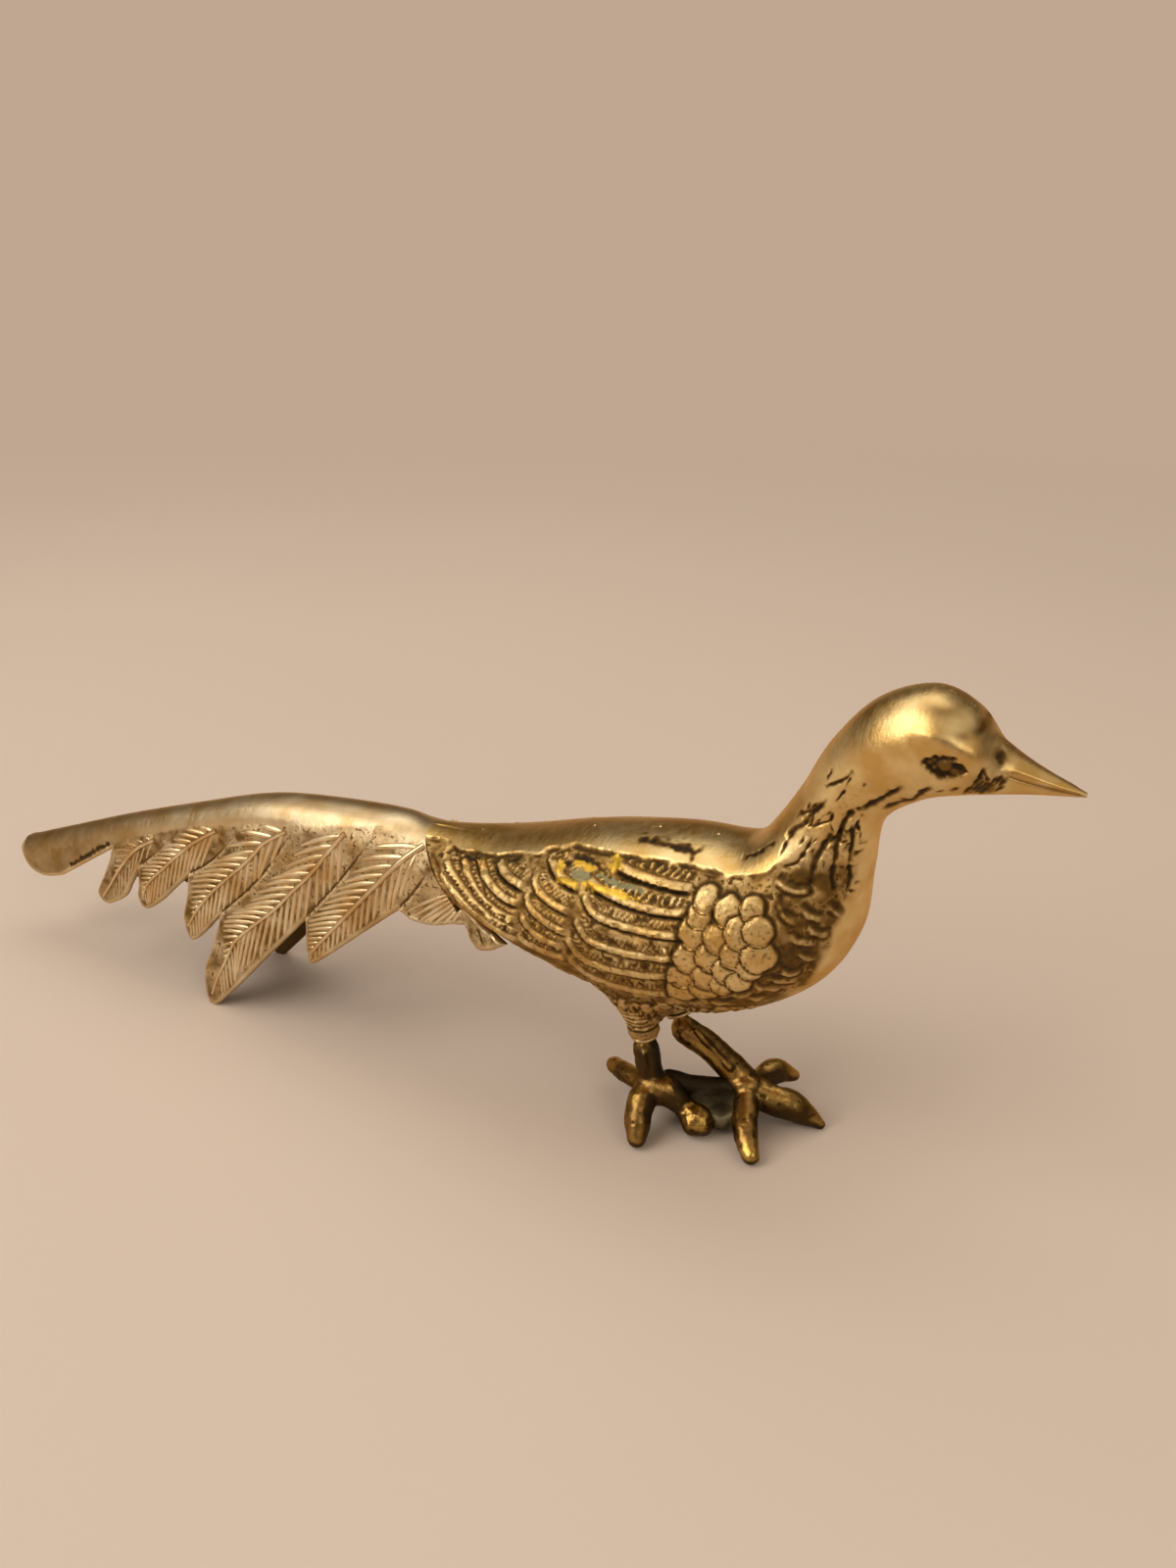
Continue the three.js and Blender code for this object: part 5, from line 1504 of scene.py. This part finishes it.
barbs = barb_tree()
for word, side in SIDES:
    feathers = tail_barbs(word + "_tail_barbs", side, barbs, tail_brass_painted_paler)
    finish_piece(feathers, word + "_tail_panel")
rings = ring_tree()
for word, side in SIDES:
    seed = 70 + side
    thigh = thigh_end(word + "_thigh_casting", side, body_brass, seed)
    finish_piece(thigh, word + "_body_shell")
    leg = leg_casting(word + "_leg_casting", side, leg_brass, seed)
    finish_piece(leg, word + "_leg")
    ring = brazing_ring(word + "_leg_brazing", side, rings, filler_brass)
    finish_piece(ring, word + "_leg_braze_ring")
finish_piece(foot_web("foot_web", solder, 90), "foot_bridge")
for name in ("back_seam_bead", "belly_seam_bead", "tail_seam_bead"):
    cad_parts[name].data.materials.clear()
    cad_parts[name].data.materials.append(filler_brass)


# Stage, light and camera
def plain_surface(name, colour, far_colour):
    """Pale matt board, whose far parts are one even colour where they are seen."""
    material = bpy.data.materials.new(name)
    material.use_nodes = True
    tree = material.node_tree
    tree.nodes.clear()
    place = add_node(tree, "ShaderNodeTexCoord").outputs["Object"]
    cloud = add_node(tree, "ShaderNodeTexNoise", {
        "Vector": place, "Scale": 6.0, "Detail": 2.0,
    }).outputs["Fac"]
    rough = add_node(tree, "ShaderNodeMapRange", {
        "Value": cloud, "To Min": 0.6, "To Max": 0.75,
    }).outputs["Result"]
    board = add_node(tree, "ShaderNodeBsdfPrincipled", {
        "Base Color": linear(colour), "Roughness": rough,
    })
    even = add_node(tree, "ShaderNodeEmission", {"Color": linear(far_colour), "Strength": 1.0})
    away = add_node(tree, "ShaderNodeVectorMath", {0: place}, operation="LENGTH").outputs["Value"]
    far = add_node(tree, "ShaderNodeMapRange", {"Value": away, "From Min": 0.3, "From Max": 1.2},
                   interpolation_type="SMOOTHSTEP").outputs["Result"]
    ray = add_node(tree, "ShaderNodeLightPath").outputs
    seen = add_node(tree, "ShaderNodeMath", {
        0: ray["Is Camera Ray"], 1: ray["Is Glossy Ray"],
    }, operation="MAXIMUM")
    share = add_node(tree, "ShaderNodeMath", {
        0: far, 1: seen.outputs[0],
    }, operation="MULTIPLY").outputs[0]
    both = add_node(tree, "ShaderNodeMixShader", {
        0: share, 1: board.outputs[0], 2: even.outputs[0],
    })
    add_node(tree, "ShaderNodeOutputMaterial", {"Surface": both.outputs[0]})
    return material


def stage_floor():
    """A round board that reaches the horizon."""
    reach, sides = 60.0, 64
    around = np.linspace(0, 2 * math.pi, sides + 1)[:-1]
    corners = [(reach * math.cos(turn), reach * math.sin(turn), 0) for turn in around]
    mesh = bpy.data.meshes.new("floor")
    mesh.from_pydata(corners, [], [list(range(sides))])
    mesh.materials.append(plain_surface("pale_matt_board", FLOOR_COLOUR, FAR_COLOUR))
    floor = bpy.data.objects.new("floor", mesh)
    bpy.context.scene.collection.objects.link(floor)


def lamp(name, place, size, power, colour):
    """An oblong lamp that faces the bird."""
    light = bpy.data.lights.new(name, "AREA")
    light.shape = "RECTANGLE"
    light.size, light.size_y = size
    light.energy = power
    light.color = linear(colour)[:3]
    holder = bpy.data.objects.new(name, light)
    holder.location = place
    aim = Vector(LAMP_TARGET) - Vector(place)
    holder.rotation_euler = aim.to_track_quat("-Z", "Y").to_euler()
    bpy.context.scene.collection.objects.link(holder)


FLOOR_COLOUR, FAR_COLOUR = "#D3C2B3", "#BFA792"
WALL_COLOUR, CEILING_COLOUR = "#4C3F31", "#CBBEAE"
LAMP_TARGET = (0, 0, 0.06)
stage_floor()
lamp("window_light", (-1.0, -1.0, 1.7), (1.5, 1.5), 19, "#FFFAF3")
lamp("low_light", (-0.9, -1.5, 0.8), (1.0, 0.5), 8, "#FFF8F0")
lamp("ceiling_light", (-0.25, 0.5, 1.5), (1.7, 0.9), 5.5, "#FFFAF3")
lamp("fill_light", (1.6, -1.1, 1.3), (1.0, 1.0), 5.5, "#FFF6EA")

# A room with dim walls and a ceiling that is lighter towards the window, behind the camera. The
# camera sees the floor's far colour instead.
world = bpy.data.worlds.new("studio")
bpy.context.scene.world = world
world.use_nodes = True
sky = world.node_tree
sky.nodes.clear()
direction = add_node(sky, "ShaderNodeTexCoord").outputs["Generated"]
upward = add_node(sky, "ShaderNodeSeparateXYZ", {"Vector": direction}).outputs["Z"]
wall = add_node(sky, "ShaderNodeMapRange", {
    "Value": upward, "From Min": 0.04, "From Max": 0.16,
}).outputs["Result"]
forward = add_node(sky, "ShaderNodeVectorMath", {
    0: direction, 1: (0.32, -0.48, 0.82),
}, operation="DOT_PRODUCT").outputs["Value"]
lit = add_node(sky, "ShaderNodeMapRange", {
    "Value": forward, "From Min": -0.05, "From Max": 0.5,
}).outputs["Result"]
high = add_node(sky, "ShaderNodeMapRange", {
    "Value": upward, "From Min": 0.2, "From Max": 0.6,
}).outputs["Result"]
ceiling = add_node(sky, "ShaderNodeMath", {0: lit, 1: high}, operation="MULTIPLY").outputs[0]
lower = add_node(sky, "ShaderNodeMix", {
    0: wall, 6: linear(FAR_COLOUR), 7: linear(WALL_COLOUR),
}, data_type="RGBA").outputs[2]
room = add_node(sky, "ShaderNodeMix", {
    0: ceiling, 6: lower, 7: linear(CEILING_COLOUR),
}, data_type="RGBA").outputs[2]
seen = add_node(sky, "ShaderNodeLightPath").outputs["Is Camera Ray"]
tint = add_node(sky, "ShaderNodeMix", {
    0: seen, 6: room, 7: linear(FAR_COLOUR),
}, data_type="RGBA").outputs[2]
glow = add_node(sky, "ShaderNodeBackground", {"Color": tint, "Strength": 1.0})
add_node(sky, "ShaderNodeOutputWorld", {"Surface": glow.outputs[0]})

# The photo's viewpoint, over the bird's right shoulder
camera_data = bpy.data.cameras.new("camera")
camera_data.lens = 29.25
camera_data.sensor_width = 36.0
camera_data.sensor_height = 36.0
camera_data.sensor_fit = "VERTICAL"
camera = bpy.data.objects.new("camera", camera_data)
camera.location = (0.1653, -0.2488, 0.210)
camera.rotation_euler = (math.radians(65.854), 0, math.radians(26))
bpy.context.scene.collection.objects.link(camera)
bpy.context.scene.camera = camera
bpy.context.scene.view_settings.view_transform = "Standard"
